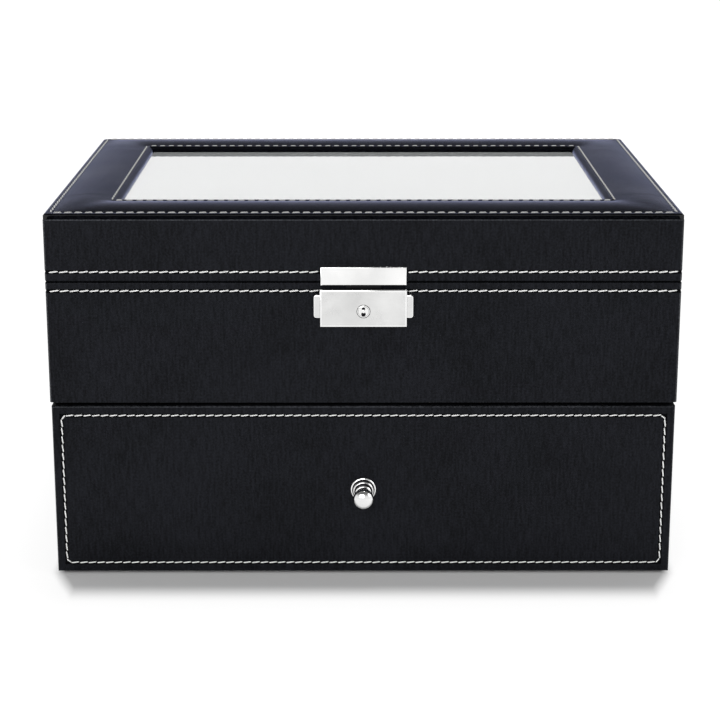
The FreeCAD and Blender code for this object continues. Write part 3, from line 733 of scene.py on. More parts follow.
def ring_sheet(name, outer, inner, z, cells):
    """A flat frame of small quads at one height, from an outer half size in to an inner one."""
    columns = frame_lines(outer[0], inner[0], cells)
    rows = frame_lines(outer[1], inner[1], cells)
    clear()
    bpy.ops.mesh.primitive_grid_add(x_subdivisions=len(columns) - 1, y_subdivisions=len(rows) - 1, size=2,
                                    location=(0, 0, z))
    sheet = taken(name)
    for vertex in sheet.data.vertices:
        column = round((vertex.co.x + 1) / 2 * (len(columns) - 1))
        row = round((vertex.co.y + 1) / 2 * (len(rows) - 1))
        vertex.co.x = columns[column]
        vertex.co.y = rows[row]
    pick(sheet, "FACE", lambda face: in_window(face.calc_center_median(), inner))
    bpy.ops.mesh.delete(type="FACE")
    done()
    return sheet


def in_window(place, inner):
    return abs(place.x) < inner[0] and abs(place.y) < inner[1]


OUTER_HEM = ((0.35, 0.2), (0.7, 0.1), (0.92, -0.35), (1.0, -1.0))
INNER_HEM = ((0.2, 0.5), (0.45, 0.42), (0.72, -0.25), (0.92, -0.9), (1.0, -1.8))
PAD_PRESSURE = 4.0
PAD_SHOULDER = 0.85
PAD_SLACK = 0.35


class WATCHBOX_OT_lid_pad(bpy.types.Operator):
    """The padded leather frame round the window, stuffed between its two rows of stitches"""
    bl_idname = "watch_box.lid_pad"
    bl_label = "Padded frame"

    def execute(self, context):
        sizes = context.scene.watch_box_sizes
        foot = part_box("lid_pad")[0].z
        edge, outer_row, inner_row, window = pad_lines(sizes)
        outer_z, inner_z = pad_seams(sizes)
        pad = ring_sheet("lid_pad_leather", outer_row, inner_row, outer_z, sizes.pad_cells)
        slope_sheet(pad, outer_row, inner_row, outer_z, inner_z)
        stuff_sheet(pad, outer_row, inner_row, sizes.pad_crown)
        ease_corners(pad, outer_row, inner_row)
        hem(pad, outer_row, edge, outer_z, OUTER_HEM, foot)
        hem(pad, inner_row, window, inner_z, INNER_HEM, foot)
        pick(pad, "EDGE", lambda edge: edge.is_boundary)
        bpy.ops.mesh.bridge_edge_loops()
        bpy.ops.mesh.select_all(action="SELECT")
        bpy.ops.mesh.normals_make_consistent(inside=False)
        done()
        pick(pad, "EDGE", level(2, foot))
        bpy.ops.transform.edge_crease(value=1)
        done()
        round_corners(pad, edge, sizes.pad_corner)
        soften(pad)
        dress(pad, "lid", "pad", ["lid_pad"], angle=60)
        # Painted shade in a narrow band beside the inner stitches
        second_finish(pad, "crease",
                      lambda face: -sizes.pad_crease < off_line(face.center, inner_row) < 0)
        return {"FINISHED"}


def pad_lines(sizes):
    """Half sizes of the padded frame: its edge, its two rows of stitches and its window."""
    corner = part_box("lid_pad")[1].xy - Vector((sizes.pad_tuck, sizes.pad_tuck))
    steps = (0, sizes.pad_outer_row, sizes.pad_width - sizes.pad_inner_row, sizes.pad_width)
    return [corner - Vector((step, step)) for step in steps]


def pad_seams(sizes):
    """Heights of the outer and the inner row of stitches."""
    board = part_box("lid_top_board")[1].z
    return board + sizes.pad_outer_seam, board + sizes.pad_inner_seam


def off_line(place, half):
    """Distance of a place outside the outline of a rectangle of that half size."""
    return max(abs(place.x) - half[0], abs(place.y) - half[1])


def slope_sheet(sheet, outer, inner, outer_z, inner_z):
    """Tilts the sheet from the outer row's height to the inner row's."""
    wide = outer[0] - inner[0]
    for vertex in sheet.data.vertices:
        share = -off_line(vertex.co, outer) / wide
        vertex.co.z = outer_z + (inner_z - outer_z) * share


def stuff_sheet(sheet, outer, inner, crown):
    """Swells the sheet between its sewn edges to a crown, with a short cloth simulation."""
    start = [vertex.co.copy() for vertex in sheet.data.vertices]
    wide = outer[0] - inner[0]
    shares = [min(1, max(0, -off_line(place, outer) / wide)) for place in start]
    rise = [4 * share * (1 - share) for share in shares]
    sewn = [vertex.index for vertex in sheet.data.vertices
            if abs(off_line(vertex.co, outer)) < TINY or abs(off_line(vertex.co, inner)) < TINY]
    sheet.vertex_groups.new(name="sewn").add(sewn, 1.0, "REPLACE")
    inflate(sheet, PAD_PRESSURE, crown, "sewn")
    sheet.vertex_groups.clear()
    rise = [vertex.co.z - before.z for vertex, before in zip(sheet.data.vertices, start)]
    most = max(rise)
    for vertex, before, share, lift in zip(sheet.data.vertices, start, shares, rise):
        shoulder = PAD_SHOULDER + PAD_SLACK * share
        vertex.co = before + crown * max(0, lift / most) ** shoulder * UP


def ease_corners(sheet, outer, inner):
    """Evens out the ridge where the frame's sides meet in each corner."""
    reach = inner - (outer - inner) / 2
    pick(sheet, "VERT", lambda vertex: not vertex.is_boundary and min(
        abs(vertex.co.x) - reach.x, abs(vertex.co.y) - reach.y) > 0)
    bpy.ops.mesh.vertices_smooth(factor=0.5, repeat=8, xaxis=False, yaxis=False)
    done()


def hem(pad, row, end, seam, profile, foot):
    """Carries the leather from a row of stitches out to an edge and down it.

    The profile gives shares of the way to the edge, with heights over the seam in millimetres.
    """
    reach = row
    pick(pad, "EDGE", lambda edge: edge.is_boundary and all(
        abs(off_line(vertex.co, row)) < CLOSE for vertex in edge.verts))
    mesh = bmesh.from_edit_mesh(pad.data)
    height = next(vertex.co.z for vertex in mesh.verts if vertex.select)
    for share, z in [(share, seam + rise * MM) for share, rise in profile] + [(1.0, foot)]:
        extrude((0, 0, z - height))
        place = row + (end - row) * share
        bpy.ops.transform.resize(value=(place.x / reach.x, place.y / reach.y, 1), center_override=(0, 0, 0))
        reach = place
        height = z
    done()


def round_corners(obj, half, radius):
    """Draws the outer corners of a frame in to a radius."""
    for vertex in obj.data.vertices:
        over = Vector((abs(vertex.co.x) - half.x + radius, abs(vertex.co.y) - half.y + radius))
        if min(over) > 0 and over.length > radius:
            over *= radius / over.length
            vertex.co.x = math.copysign(half.x - radius + over.x, vertex.co.x)
            vertex.co.y = math.copysign(half.y - radius + over.y, vertex.co.y)


STITCH_STRAIGHT = 0.68
STITCH_LIFT = 0.25
STITCH_DROP = 0.85
STITCH_TIP = 0.6
PAD_ROW_TURN = 1.2 * MM
LOCK_CLEARANCE = 0.4 * MM


def stitch(width, shown):
    """One stitch along X at the origin, its ends drawn down through the leather."""
    clear()
    radius = width / 2
    straight = STITCH_STRAIGHT * shown
    reach = (shown - straight) / 2
    tip_z = (STITCH_LIFT - STITCH_DROP) * radius
    bpy.ops.mesh.primitive_cylinder_add(vertices=8, radius=radius, depth=straight,
                                        location=(0, 0, STITCH_LIFT * radius),
                                        rotation=(0, math.pi / 2, 0))
    thread = taken("stitch")
    for side in (-1, 1):
        pick(thread, "FACE", lambda face: face.normal.x * side > 0.9)
        extrude((side * reach, 0, -STITCH_DROP * radius))
        bpy.ops.transform.resize(value=(1, STITCH_TIP, STITCH_TIP),
                                 center_override=(side * (straight / 2 + reach), 0, tip_z))
        done()
    only(thread)
    bpy.ops.object.shade_smooth()
    return thread


def stitch_run(sizes, start, end, outward, pitch, shown, width):
    """A straight run of stitches from start to end on a face, of which a share of the pitch shows."""
    start = Vector(start)
    step = Vector(end) - start
    count = max(1, round(step.length / pitch))
    along = step.normalized()
    thread = stitch(width, shown * pitch)
    turn = Matrix((along, outward.cross(along), outward)).transposed().to_4x4()
    slant = Matrix.Rotation(sizes.stitch_slant, 4, "Z")
    thread.matrix_world = Matrix.Translation(start + step / count / 2) @ turn @ slant
    only(thread)
    bpy.ops.object.transform_apply(location=True, rotation=True, scale=True)
    modify(thread, "ARRAY", count=count, use_relative_offset=False, use_constant_offset=True,
           constant_offset_displace=step / count)
    return thread


def stitched_band(sizes, name, half_x, half_y, z, gap):
    """Runs of stitches round the box at one height, with a gap for the lock in the front."""
    x = half_x - sizes.corner
    y = half_y - sizes.corner
    front = -half_y
    runs = (
        ((-x, front, z), (-gap, front, z), FRONT),
        ((gap, front, z), (x, front, z), FRONT),
        ((half_x, -y, z), (half_x, y, z), RIGHT),
        ((x, half_y, z), (-x, half_y, z), BACK),
        ((-half_x, y, z), (-half_x, -y, z), LEFT),
    )
    return joined(name, [
        stitch_run(sizes, *run, sizes.band_pitch, sizes.thread_shown, sizes.band_thread) for run in runs])


def stitched_frame(sizes, name, half_x, half_y, z, shown):
    """Runs of stitches along a rectangle that faces up."""
    x = half_x - PAD_ROW_TURN
    y = half_y - PAD_ROW_TURN
    runs = (
        ((-x, -half_y, z), (x, -half_y, z)),
        ((half_x, -y, z), (half_x, y, z)),
        ((x, half_y, z), (-x, half_y, z)),
        ((-half_x, y, z), (-half_x, -y, z)),
    )
    return joined(name, [
        stitch_run(sizes, *run, UP, sizes.pad_pitch, shown, sizes.pad_thread) for run in runs])


def stitched_drawer(sizes):
    """Runs of stitches along the drawer front's rectangle, with one across each corner."""
    low, high = drawer_face(sizes)
    turn = sizes.drawer_turn
    x = high.x - sizes.drawer_row
    z0 = low.z + sizes.drawer_row
    z1 = high.z - sizes.drawer_row
    y = low.y + sizes.groove_depth
    corner_y = low.y + sizes.groove_depth / 2
    across = math.sqrt(2) * turn
    runs = [
        ((turn - x, y, z0), (x - turn, y, z0), sizes.drawer_pitch),
        ((turn - x, y, z1), (x - turn, y, z1), sizes.drawer_pitch),
        ((-x, y, z0 + turn), (-x, y, z1 - turn), sizes.drawer_pitch),
        ((x, y, z0 + turn), (x, y, z1 - turn), sizes.drawer_pitch),
    ]
    for side in (-1, 1):
        for z, inward in ((z0, turn), (z1, -turn)):
            runs.append(((side * x, corner_y, z + inward), (side * (x - turn), corner_y, z), across))
    return joined("drawer_stitches", [
        stitch_run(sizes, start, end, FRONT, pitch, sizes.thread_shown, sizes.drawer_thread)
        for start, end, pitch in runs])


class WATCHBOX_OT_stitches(bpy.types.Operator):
    """The rows of stitches on the lid, the case, the drawer and the padded frame"""
    bl_idname = "watch_box.stitches"
    bl_label = "Stitches"

    def execute(self, context):
        sizes = context.scene.watch_box_sizes
        sunk = sizes.groove_depth
        case_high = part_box("case_wrap")[1]
        lid_low, lid_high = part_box("lid_wrap")
        lock_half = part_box("lock_cover")[1].x + LOCK_CLEARANCE
        case_row = stitched_band(sizes, "case_stitches", case_high.x - sunk, case_high.y - sunk,
                                 case_high.z - sizes.case_row, lock_half)
        lid_row = stitched_band(sizes, "lid_stitches", lid_high.x - sunk, lid_high.y - sunk,
                                lid_low.z + sizes.lid_row, lock_half)
        drawer_row = stitched_drawer(sizes)
        _, outer, inner, _ = pad_lines(sizes)
        outer_z, inner_z = pad_seams(sizes)
        outer_row = stitched_frame(sizes, "pad_outer_stitches", outer.x, outer.y,
                                   outer_z + sizes.outer_rise, sizes.outer_thread_shown)
        inner_row = stitched_frame(sizes, "pad_inner_stitches", inner.x, inner.y,
                                   inner_z + sizes.inner_rise, sizes.inner_thread_shown)
        # The padded frame's rows get the darker copy of the thread, as painted shade
        for row, body, finish in ((case_row, "case", "thread"), (lid_row, "lid", "thread"),
                                  (drawer_row, "drawer", "thread"), (outer_row, "lid", "pad_thread"),
                                  (inner_row, "lid", "pad_thread")):
            set_finish(row.data, finish)
            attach(row, body)
        return {"FINISHED"}


PANE_EDGE = 0.25 * MM


class WATCHBOX_OT_pane(bpy.types.Operator):
    """The window pane, its edge stepped to lie under the top board"""
    bl_idname = "watch_box.pane"
    bl_label = "Window pane"

    def execute(self, context):
        sizes = context.scene.watch_box_sizes
        low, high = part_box("lid_glass")
        pane = block("window_pane", low, high)
        pick(pane, "FACE", level(2, high.z))
        bpy.ops.mesh.inset(thickness=sizes.pane_lap)
        extrude((0, 0, sizes.pane_step))
        done()
        face = high.z + sizes.pane_step
        round_edges(pane, either(level(2, face), level(2, low.z)), PANE_EDGE, 2)
        dress(pane, "lid", "pane", ["lid_glass"])
        return {"FINISHED"}


DIVIDER = millimetres(thickness=3.2, edge=1.2)
COLUMNS = 5


def strip(name, low, high):
    """A velvet-covered divider, rounded along its top."""
    piece = block(name, low, high)
    axis = 0 if high[0] - low[0] > high[1] - low[1] else 1
    round_edges(piece, both(level(2, high[2]), runs_along(axis)), DIVIDER.edge, 4)
    return piece


class WATCHBOX_OT_dividers(bpy.types.Operator):
    """Velvet-covered dividers of the upper tray and the drawer"""
    bl_idname = "watch_box.dividers"
    bl_label = "Dividers"

    def execute(self, context):
        thickness = DIVIDER.thickness
        for node, body in (("upper_dividers", "case"), ("drawer_dividers", "drawer")):
            low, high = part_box(node)
            cell = (high.x - low.x - (COLUMNS - 1) * thickness) / COLUMNS
            middle = (low.y + high.y) / 2
            strips = [strip("across", (low.x, middle - thickness / 2, low.z),
                            (high.x, middle + thickness / 2, high.z))]
            for index in range(COLUMNS - 1):
                x = low.x + (index + 1) * cell + index * thickness
                strips.append(strip("along", (x, low.y, low.z), (x + thickness, high.y, high.z)))
            dress(joined(node + "_velvet", strips), body, "velvet", [node])
        return {"FINISHED"}


CUSHION = millimetres(back=17, edge=3.5, cell=4, swell=2.4)
CUSHION_SHRINK = Vector((1.6, 2.2, 2.2)) * MM
CUSHION_PRESSURE = 10.0
CUSHIONS = 10
CLOTH_FRAMES = 20


def stuffed_cushion():
    """One watch cushion at its own place in the tray, stuffed by a short cloth simulation."""
    low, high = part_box("upper_cushion_01")
    low += CUSHION_SHRINK
    high -= CUSHION_SHRINK
    cushion = block("cushion", low, high)
    round_edges(cushion, runs_along(0), CUSHION.back, 6)
    round_edges(cushion, either(level(0, low.x), level(0, high.x)), CUSHION.edge, 3)
    cushion.data.remesh_voxel_size = CUSHION.cell
    only(cushion)
    bpy.ops.object.voxel_remesh()
    inflate(cushion, CUSHION_PRESSURE, CUSHION.swell)
    soften(cushion)
    return cushion


def inflate(obj, pressure, cap, sewn=""):
    """Runs cloth under inner pressure and keeps each point within cap of where it began."""
    start = [vertex.co.copy() for vertex in obj.data.vertices]
    only(obj)
    bpy.ops.object.modifier_add(type="CLOTH")
    cloth = obj.modifiers[-1]
    cloth.settings.use_pressure = True
    cloth.settings.uniform_pressure_force = pressure
    cloth.settings.effector_weights.gravity = 0
    cloth.settings.quality = 5
    cloth.settings.vertex_group_mass = sewn
    cloth.point_cache.frame_start = 1
    cloth.point_cache.frame_end = CLOTH_FRAMES
    scene = bpy.context.scene
    for number in range(1, CLOTH_FRAMES + 1):
        scene.frame_set(number)
    bpy.ops.object.modifier_apply(modifier=cloth.name)
    scene.frame_set(1)
    for vertex, before in zip(obj.data.vertices, start):
        move = vertex.co - before
        if move.length > cap:
            vertex.co = before + move * (cap / move.length)


class WATCHBOX_OT_cushions(bpy.types.Operator):
    """Velvet watch cushions: one is stuffed, and the others are copies of it"""
    bl_idname = "watch_box.cushions"
    bl_label = "Watch cushions"

    def execute(self, context):
        first = stuffed_cushion()
        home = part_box("upper_cushion_01")[0]
        made = []
        for tray, body in (("upper", "case"), ("drawer", "drawer")):
            for number in range(1, CUSHIONS + 1):
                node = f"{tray}_cushion_{number:02d}"
                only(first)
                bpy.ops.object.duplicate()
                copy = bpy.context.object
                copy.name = node + "_velvet"
                copy.data.name = copy.name
                bpy.ops.transform.translate(value=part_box(node)[0] - home)
                bpy.ops.object.transform_apply(location=True, rotation=False, scale=False)
                made.append((copy, body, node))
        only(first)
        bpy.ops.object.delete()
        for copy, body, node in made:
            dress(copy, body, "velvet", [node], angle=80)
        return {"FINISHED"}


HASP = millimetres(drop=1.1, edge=0.5, rim_play=0.3, tongue=8, tongue_face=0.4, tongue_back=1.3,
                   tongue_edge=0.25, catch=6.5, catch_foot=1.15, catch_top=3.95, dark_top=0.9, dark_face=0.3)


class WATCHBOX_OT_hasp(bpy.types.Operator):
    """The hasp plate on the lid, with the tongue that goes into the lock"""
    bl_idname = "watch_box.hasp"
    bl_label = "Hasp"

    def execute(self, context):
        low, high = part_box("hasp_plate")
        lid_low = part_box("lid_wrap")[0]
        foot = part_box("case_wrap")[1].z - HASP.drop
        plate = block("hasp", (low.x, low.y, foot), (high.x, lid_low.y, high.z))
        round_edges(plate, level(1, low.y), HASP.edge, 3)
        carve(plate, [block("rim_room", (low.x - MM, lid_low.y - HASP.rim_play, foot - MM),
                            (high.x + MM, lid_low.y + MM, lid_low.z))])
        tongue = block("tongue", (-HASP.tongue, low.y + HASP.tongue_face, low.z),
                       (HASP.tongue, low.y + HASP.tongue_back, foot + MM))
        round_edges(tongue, both(level(2, low.z), runs_along(0)), HASP.tongue_edge, 2)
        carve(tongue, [block("window", (-HASP.catch, low.y - MM, low.z + HASP.catch_foot),
                             (HASP.catch, low.y + 3 * MM, low.z + HASP.catch_top))])
        hasp = joined("hasp", [plate, tongue])
        dress(hasp, "lid", "nickel", ["hasp_plate"])
        # Painted shade: the hasp's underside and its tongue, in the gap over the lock, are dark
        second_finish(hasp, "steel", lambda face: face.center.z < foot + HASP.dark_top
                      and face.center.y > low.y + HASP.dark_face)
        return {"FINISHED"}


LOCK = millimetres(wall=0.8, edge=0.9, play=0.3, slot=3.3, hole_play=0.05, groove=0.75, groove_depth=0.25,
                   rim=0.5, rim_rise=0.1, rim_root=0.3, rim_edge=0.15, slider_play=0.5, slider=0.6,
                   cam_room=3.6, cam_lift=3, nose=1.4, nose_place=5, nose_foot=4.1, nose_top=5.6,
                   nose_back=1.3, ear_drop=2.7, ear_root=1.2, ear_corner=1.2, ear_edge=0.45, leaf=0.3)
KEY = millimetres(edge=0.25, lap=0.05, depth=1.3, upper_hole=0.75, upper_rise=1.3, lower_hole=1.05,
                  lower_drop=1.25, slit=0.5, post=0.85, sunk=0.1, cam=1.5, cam_reach=3.2, cam_back=1.15,
                  cam_corner=1.45, pivot=1.4, bright=0.45)
PLUG_SIDES = 40
POST_SIDES = 24
HOLE_SIDES = 20
LEAF_CELLS = 20
POLISHED_BEVEL = 0.97


class WATCHBOX_OT_lock(bpy.types.Operator):
    """The lock on the case: cover, slider with its ears, key plug and leaf spring"""
    bl_idname = "watch_box.lock"
    bl_label = "Lock"

    def execute(self, context):
        low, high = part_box("lock_cover")
        slider_low, slider_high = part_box("lock_slider")
        plug_low, plug_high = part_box("lock_plug")
        key_z = (plug_low.z + plug_high.z) / 2
        ear_top = high.z - LOCK.ear_drop
        self.cover(low, high, slider_low, slider_high, ear_top, plug_high.x, key_z)
        self.slider(high.x - LOCK.wall - LOCK.slider_play, slider_low, slider_high, ear_top, key_z)
        self.key_plug(low.y + LOCK.wall, plug_low, plug_high, key_z)
        self.leaf_spring()
        return {"FINISHED"}

    def cover(self, low, high, slider_low, slider_high, ear_top, plug_radius, key_z):
        """The cover, open at its back and top, with slots for the ears and a rim round the plug."""
        wall = LOCK.wall
        rim_face = low.y - LOCK.rim_rise
        groove_floor = low.y + LOCK.groove_depth

        def plug_hole():
            return rod("plug_hole", plug_radius + LOCK.hole_play, low.y - MM, low.y + 2 * wall, key_z,
                       PLUG_SIDES)

        plate = block("lock_cover_plate", low, high)
        round_edges(plate, level(1, low.y), LOCK.edge, 2)
        carve(plate, [
            block("room", (low.x + wall, low.y + wall, low.z + wall),
                  (high.x - wall, high.y + MM, high.z + MM)),
            block("ear_slot", (low.x - MM, slider_low.y - LOCK.play, slider_low.z - LOCK.slot),
                  (high.x + MM, slider_high.y + LOCK.play, ear_top + LOCK.play)),
            rod("rim_groove", plug_radius + LOCK.groove, low.y - MM, groove_floor, key_z, PLUG_SIDES),
            plug_hole(),
        ])
        rim = rod("plug_rim", plug_radius + LOCK.rim, rim_face, low.y + LOCK.rim_root, key_z, PLUG_SIDES)
        round_edges(rim, level(1, rim_face), LOCK.rim_edge, 2)
        carve(rim, [plug_hole()])
        cover = joined("lock_cover_plate", [plate, rim])
        dress(cover, "case", "satin", ["lock_cover"])
        second_finish(cover, "nickel", lambda face: on_edge(face, POLISHED_BEVEL)
                      or face.center.y < low.y - CLOSE)
        # Painted shade on the floor of the groove round the plug's rim
        second_finish(cover, "steel", level_face(1, groove_floor))

    def slider(self, half, low, high, ear_top, key_z):
        """The plate behind the cover that carries both ears and the two noses of the catch."""
        back = low.y + LOCK.slider
        room = LOCK.cam_room
        plate = block("plate", (-half, low.y, low.z), (half, back, high.z))
        carve(plate, [block("cam_room", (-room, low.y - MM, low.z - MM),
                            (room, high.y + MM, key_z + room + LOCK.cam_lift))])
        ears = [self.ear(side, half, low, high, ear_top) for side in (-1, 1)]
        noses = [block("nose", (x - LOCK.nose, back, key_z + LOCK.nose_foot),
                       (x + LOCK.nose, low.y + LOCK.nose_back, key_z + LOCK.nose_top))
                 for x in (-LOCK.nose_place, LOCK.nose_place)]
        slider = joined("lock_slider_plate", [plate] + ears + noses)
        dress(slider, "lock_slider", "satin", ["lock_slider"])
        second_finish(slider, "nickel", lambda face: on_edge(face, POLISHED_BEVEL))

    def ear(self, side, half, low, high, top):
        """One of the two ears that are pressed down to open the lock."""
        root = side * (half - LOCK.ear_root)
        tip = side * high.x
        ear = block("ear", (min(root, tip), low.y, low.z), (max(root, tip), high.y, top))
        round_edges(ear, both(level(0, tip), runs_along(1)), LOCK.ear_corner, 4)
        round_edges(ear, lambda edge: level(1, low.y)(edge) and not level(0, root)(edge), LOCK.ear_edge, 2)
        return ear

    def key_plug(self, cover_back, low, high, z):
        """The plug's face with its keyhole and post, the cam behind it and the pivot."""
        plug = rod("key_plug", high.x, low.y, cover_back + KEY.lap, z, PLUG_SIDES)
        round_edges(plug, level(1, low.y), KEY.edge, 2)
        floor = low.y + KEY.depth
        upper = z + KEY.upper_rise
        lower = z - KEY.lower_drop
        carve(plug, [
            rod("upper_hole", KEY.upper_hole, low.y - MM, floor, upper, HOLE_SIDES),
            rod("lower_hole", KEY.lower_hole, low.y - MM, floor, lower, POST_SIDES),
            block("slit", (-KEY.slit, low.y - MM, lower), (KEY.slit, floor, upper)),
        ])
        post_face = low.y + KEY.sunk
        post = rod("post", KEY.post, post_face, floor + KEY.lap, z, POST_SIDES)
        round_edges(post, level(1, post_face), KEY.edge, 2)
        cam = block("cam", (-KEY.cam, cover_back + KEY.lap, z - KEY.cam_reach),
                    (KEY.cam, cover_back + KEY.cam_back, z + KEY.cam_reach))
        round_edges(cam, runs_along(1), KEY.cam_corner, 6)
        pivot = rod("pivot", KEY.pivot, cover_back, high.y, z, POST_SIDES)
        whole = joined("key_plug", [plug, post, cam, pivot])
        dress(whole, "lock_plug", "nickel", ["lock_plug"])
        # Painted shade in the keyhole and round the post, below a thin depth of the plug's face; the cam and
        # pivot behind the cover take the same dark finish
        second_finish(whole, "steel", lambda face: face.center.y > low.y + KEY.bright)

    def leaf_spring(self):
        """The bowed leaf under the slider, built in its bowed shape; in the lock the ears press it flat."""
        low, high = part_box("lock_spring")
        leaf = block("leaf_spring", low, (high.x, high.y, low.z + LOCK.leaf))
        slice_level(leaf, 0, spaced(low.x, high.x, LEAF_CELLS)[1:-1])
        rise = high.z - low.z - LOCK.leaf
        for vertex in leaf.data.vertices:
            vertex.co.z += rise * (vertex.co.x / high.x) ** 2
        dress(leaf, "case", "steel", ["lock_spring"])
        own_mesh(leaf)


# Radius and distance from the drawer's front, in millimetres
KNOB_PROFILE = (
    (5.5, 0.0), (5.9, 0.2), (6.0, 0.6), (5.8, 1.0), (5.3, 1.2), (4.6, 1.3), (4.1, 1.5), (4.0, 1.9),
    (4.3, 2.15), (4.7, 2.35), (4.9, 2.75), (4.75, 3.2), (4.3, 3.5), (3.4, 3.7), (3.1, 4.2), (3.3, 4.6),
    (3.7, 4.8), (3.9, 5.25), (3.75, 5.7), (3.2, 6.0), (2.6, 6.2), (2.35, 6.9), (2.3, 7.9), (2.5, 8.8),
    (3.1, 9.6), (4.0, 10.3), (4.55, 11.2), (4.75, 12.2), (4.72, 13.2), (4.55, 13.9), (4.2, 14.4),
    (3.6, 14.95), (2.8, 15.4), (1.8, 15.75), (0.8, 15.95),
)
# Stretches of the knob from the drawer's front, in millimetres, whose grooves get painted shade
KNOB_GROOVE_SHADE = ((1.15, 2.2), (3.45, 4.7), (5.9, 9.8))
KNOB_SIDES = 48


class WATCHBOX_OT_knob(bpy.types.Operator):
    """The drawer's turned knob"""
    bl_idname = "watch_box.knob"
    bl_label = "Knob"

    def execute(self, context):
        low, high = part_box("knob")
        z = (low.z + high.z) / 2
        seat = high.y
        clear()
        bpy.ops.mesh.primitive_circle_add(vertices=KNOB_SIDES, radius=KNOB_PROFILE[0][0] * MM,
                                          fill_type="NGON", location=(0, seat, z),
                                          rotation=(math.pi / 2, 0, 0))
        knob = taken("drawer_knob")
        pick(knob, "FACE", everything)
        for (radius, out), (next_radius, next_out) in zip(KNOB_PROFILE, KNOB_PROFILE[1:]):
            extrude((0, (out - next_out) * MM, 0))
            share = next_radius / radius
            bpy.ops.transform.resize(value=(share, 1, share), center_override=(0, seat - next_out * MM, z))
        extrude((0, low.y - seat + KNOB_PROFILE[-1][1] * MM, 0))
        bpy.ops.mesh.merge(type="CENTER")
        done()
        pick(knob, "FACE", everything)
        bpy.ops.mesh.normals_make_consistent(inside=False)
        done()
        dress(knob, "drawer", "nickel", ["knob"], angle=50)
        # Painted shade in the knob's grooves
        second_finish(knob, "steel", lambda face: any(
            start * MM < seat - face.center.y < end * MM for start, end in KNOB_GROOVE_SHADE))
        return {"FINISHED"}


KEPT_NODES = {
    "felt": ("base_felt",),
    "board": ("base_panel", "left_side_panel", "right_side_panel", "back_panel", "front_panel",
              "shelf_panel", "lid_front_rail", "lid_back_rail", "lid_left_rail", "lid_right_rail"),
    "paper": ("lid_top_board", "drawer_front_panel", "drawer_left_side", "drawer_right_side",
              "drawer_back", "drawer_bottom"),
    "velvet": ("upper_lining", "lid_lining", "drawer_lining"),
    "hinge": ("hinge_case_leaves", "hinge_lid_leaves", "hinge_pins", "hinge_case_screws",
              "hinge_lid_screws", "knob_screw"),
    "steel": ("lock_base_plate",),
}


class WATCHBOX_OT_kept_nodes(bpy.types.Operator):
    """Finishes of the boards, linings, hinges, screws and base plate, which keep their CAD shape"""
    bl_idname = "watch_box.kept_nodes"
    bl_label = "Boards, linings and hinges"

    def execute(self, context):
        for finish, nodes in KEPT_NODES.items():
            for node in nodes:
                set_finish(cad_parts[node].data, finish)
        return {"FINISHED"}


FLOOR_SIZE = 12
# Painted shadow: the floor's own colour close round the box
FLOOR_PAINTED_SHADOW = (0.72, 0.72, 0.72)
FLOOR_WHITE = (1.0, 1.0, 1.0)
FLOOR_FADE = 0.75
FLOOR_GLOW = 1.1
# Distances from the box's middle between which the floor turns white: beside it, before it, far off
FLOOR_SIDE = (0.141, 0.148)
FLOOR_FRONT = (0.112, 0.133)
FLOOR_FAR = (0.3, 0.6)
# The painted shadow beside the box draws in by this much over this stretch before its front
FLOOR_TAPER = 0.015
FLOOR_TAPER_SPAN = (0.1, 0.133)
ROOM_LIGHT = 0.35
# Name, place, the point it is aimed at, size and power
LAMPS = (
    ("top", (0.05, 0.35, 1.9), (0, 0, 0.05), (0.6, 0.6), 22),
    ("front", (-0.45, -1.75, 0.85), (0, 0, 0.08), (1.3, 1.0), 17),
    ("side", (1.5, -0.7, 0.9), (0, 0, 0.08), (0.9, 0.9), 6),
)
CAMERA_PLACE = (-2.4 * MM, -882.4 * MM, 343.7 * MM)
CAMERA_PITCH = 13.47
CAMERA_TURN = -0.06
CAMERA_SHIFT = -0.15
FOCAL_PIXELS = 1776.9
FRAME_PIXELS = 721
SENSOR = 36


def lamp(name, place, target, size, power):
    """A soft square lamp aimed at a point."""
    clear()
    bpy.ops.object.light_add(type="AREA", location=place)
    light = bpy.context.object
    light.name = name
    light.data.shape = "RECTANGLE"
    light.data.size = size[0]
    light.data.size_y = size[1]
    light.data.energy = power
    light.rotation_euler = (Vector(target) - Vector(place)).to_track_quat("-Z", "Y").to_euler()


class WATCHBOX_OT_stage(bpy.types.Operator):
    """The floor, lamps, white surroundings and camera"""
    bl_idname = "watch_box.stage"
    bl_label = "Stage"

    def execute(self, context):
        scene = context.scene
        scene.view_settings.view_transform = "Standard"
        clear()
        bpy.ops.mesh.primitive_plane_add(size=FLOOR_SIZE, location=(0, 0, 0))
        floor = taken("floor")
        floor.data.materials.append(floor_finish())
        for row in LAMPS:
            lamp(*row)
        white_world(scene)
        clear()
        bpy.ops.object.camera_add(
            location=CAMERA_PLACE,
            rotation=(math.radians(90 - CAMERA_PITCH), 0, math.radians(CAMERA_TURN)))
        camera = context.object
        camera.name = "camera"
        camera.data.sensor_width = SENSOR
        camera.data.lens = FOCAL_PIXELS * SENSOR / FRAME_PIXELS
        camera.data.shift_y = CAMERA_SHIFT
        camera.data.clip_start = 0.01
        camera.data.clip_end = 50
        scene.camera = camera
        return {"FINISHED"}


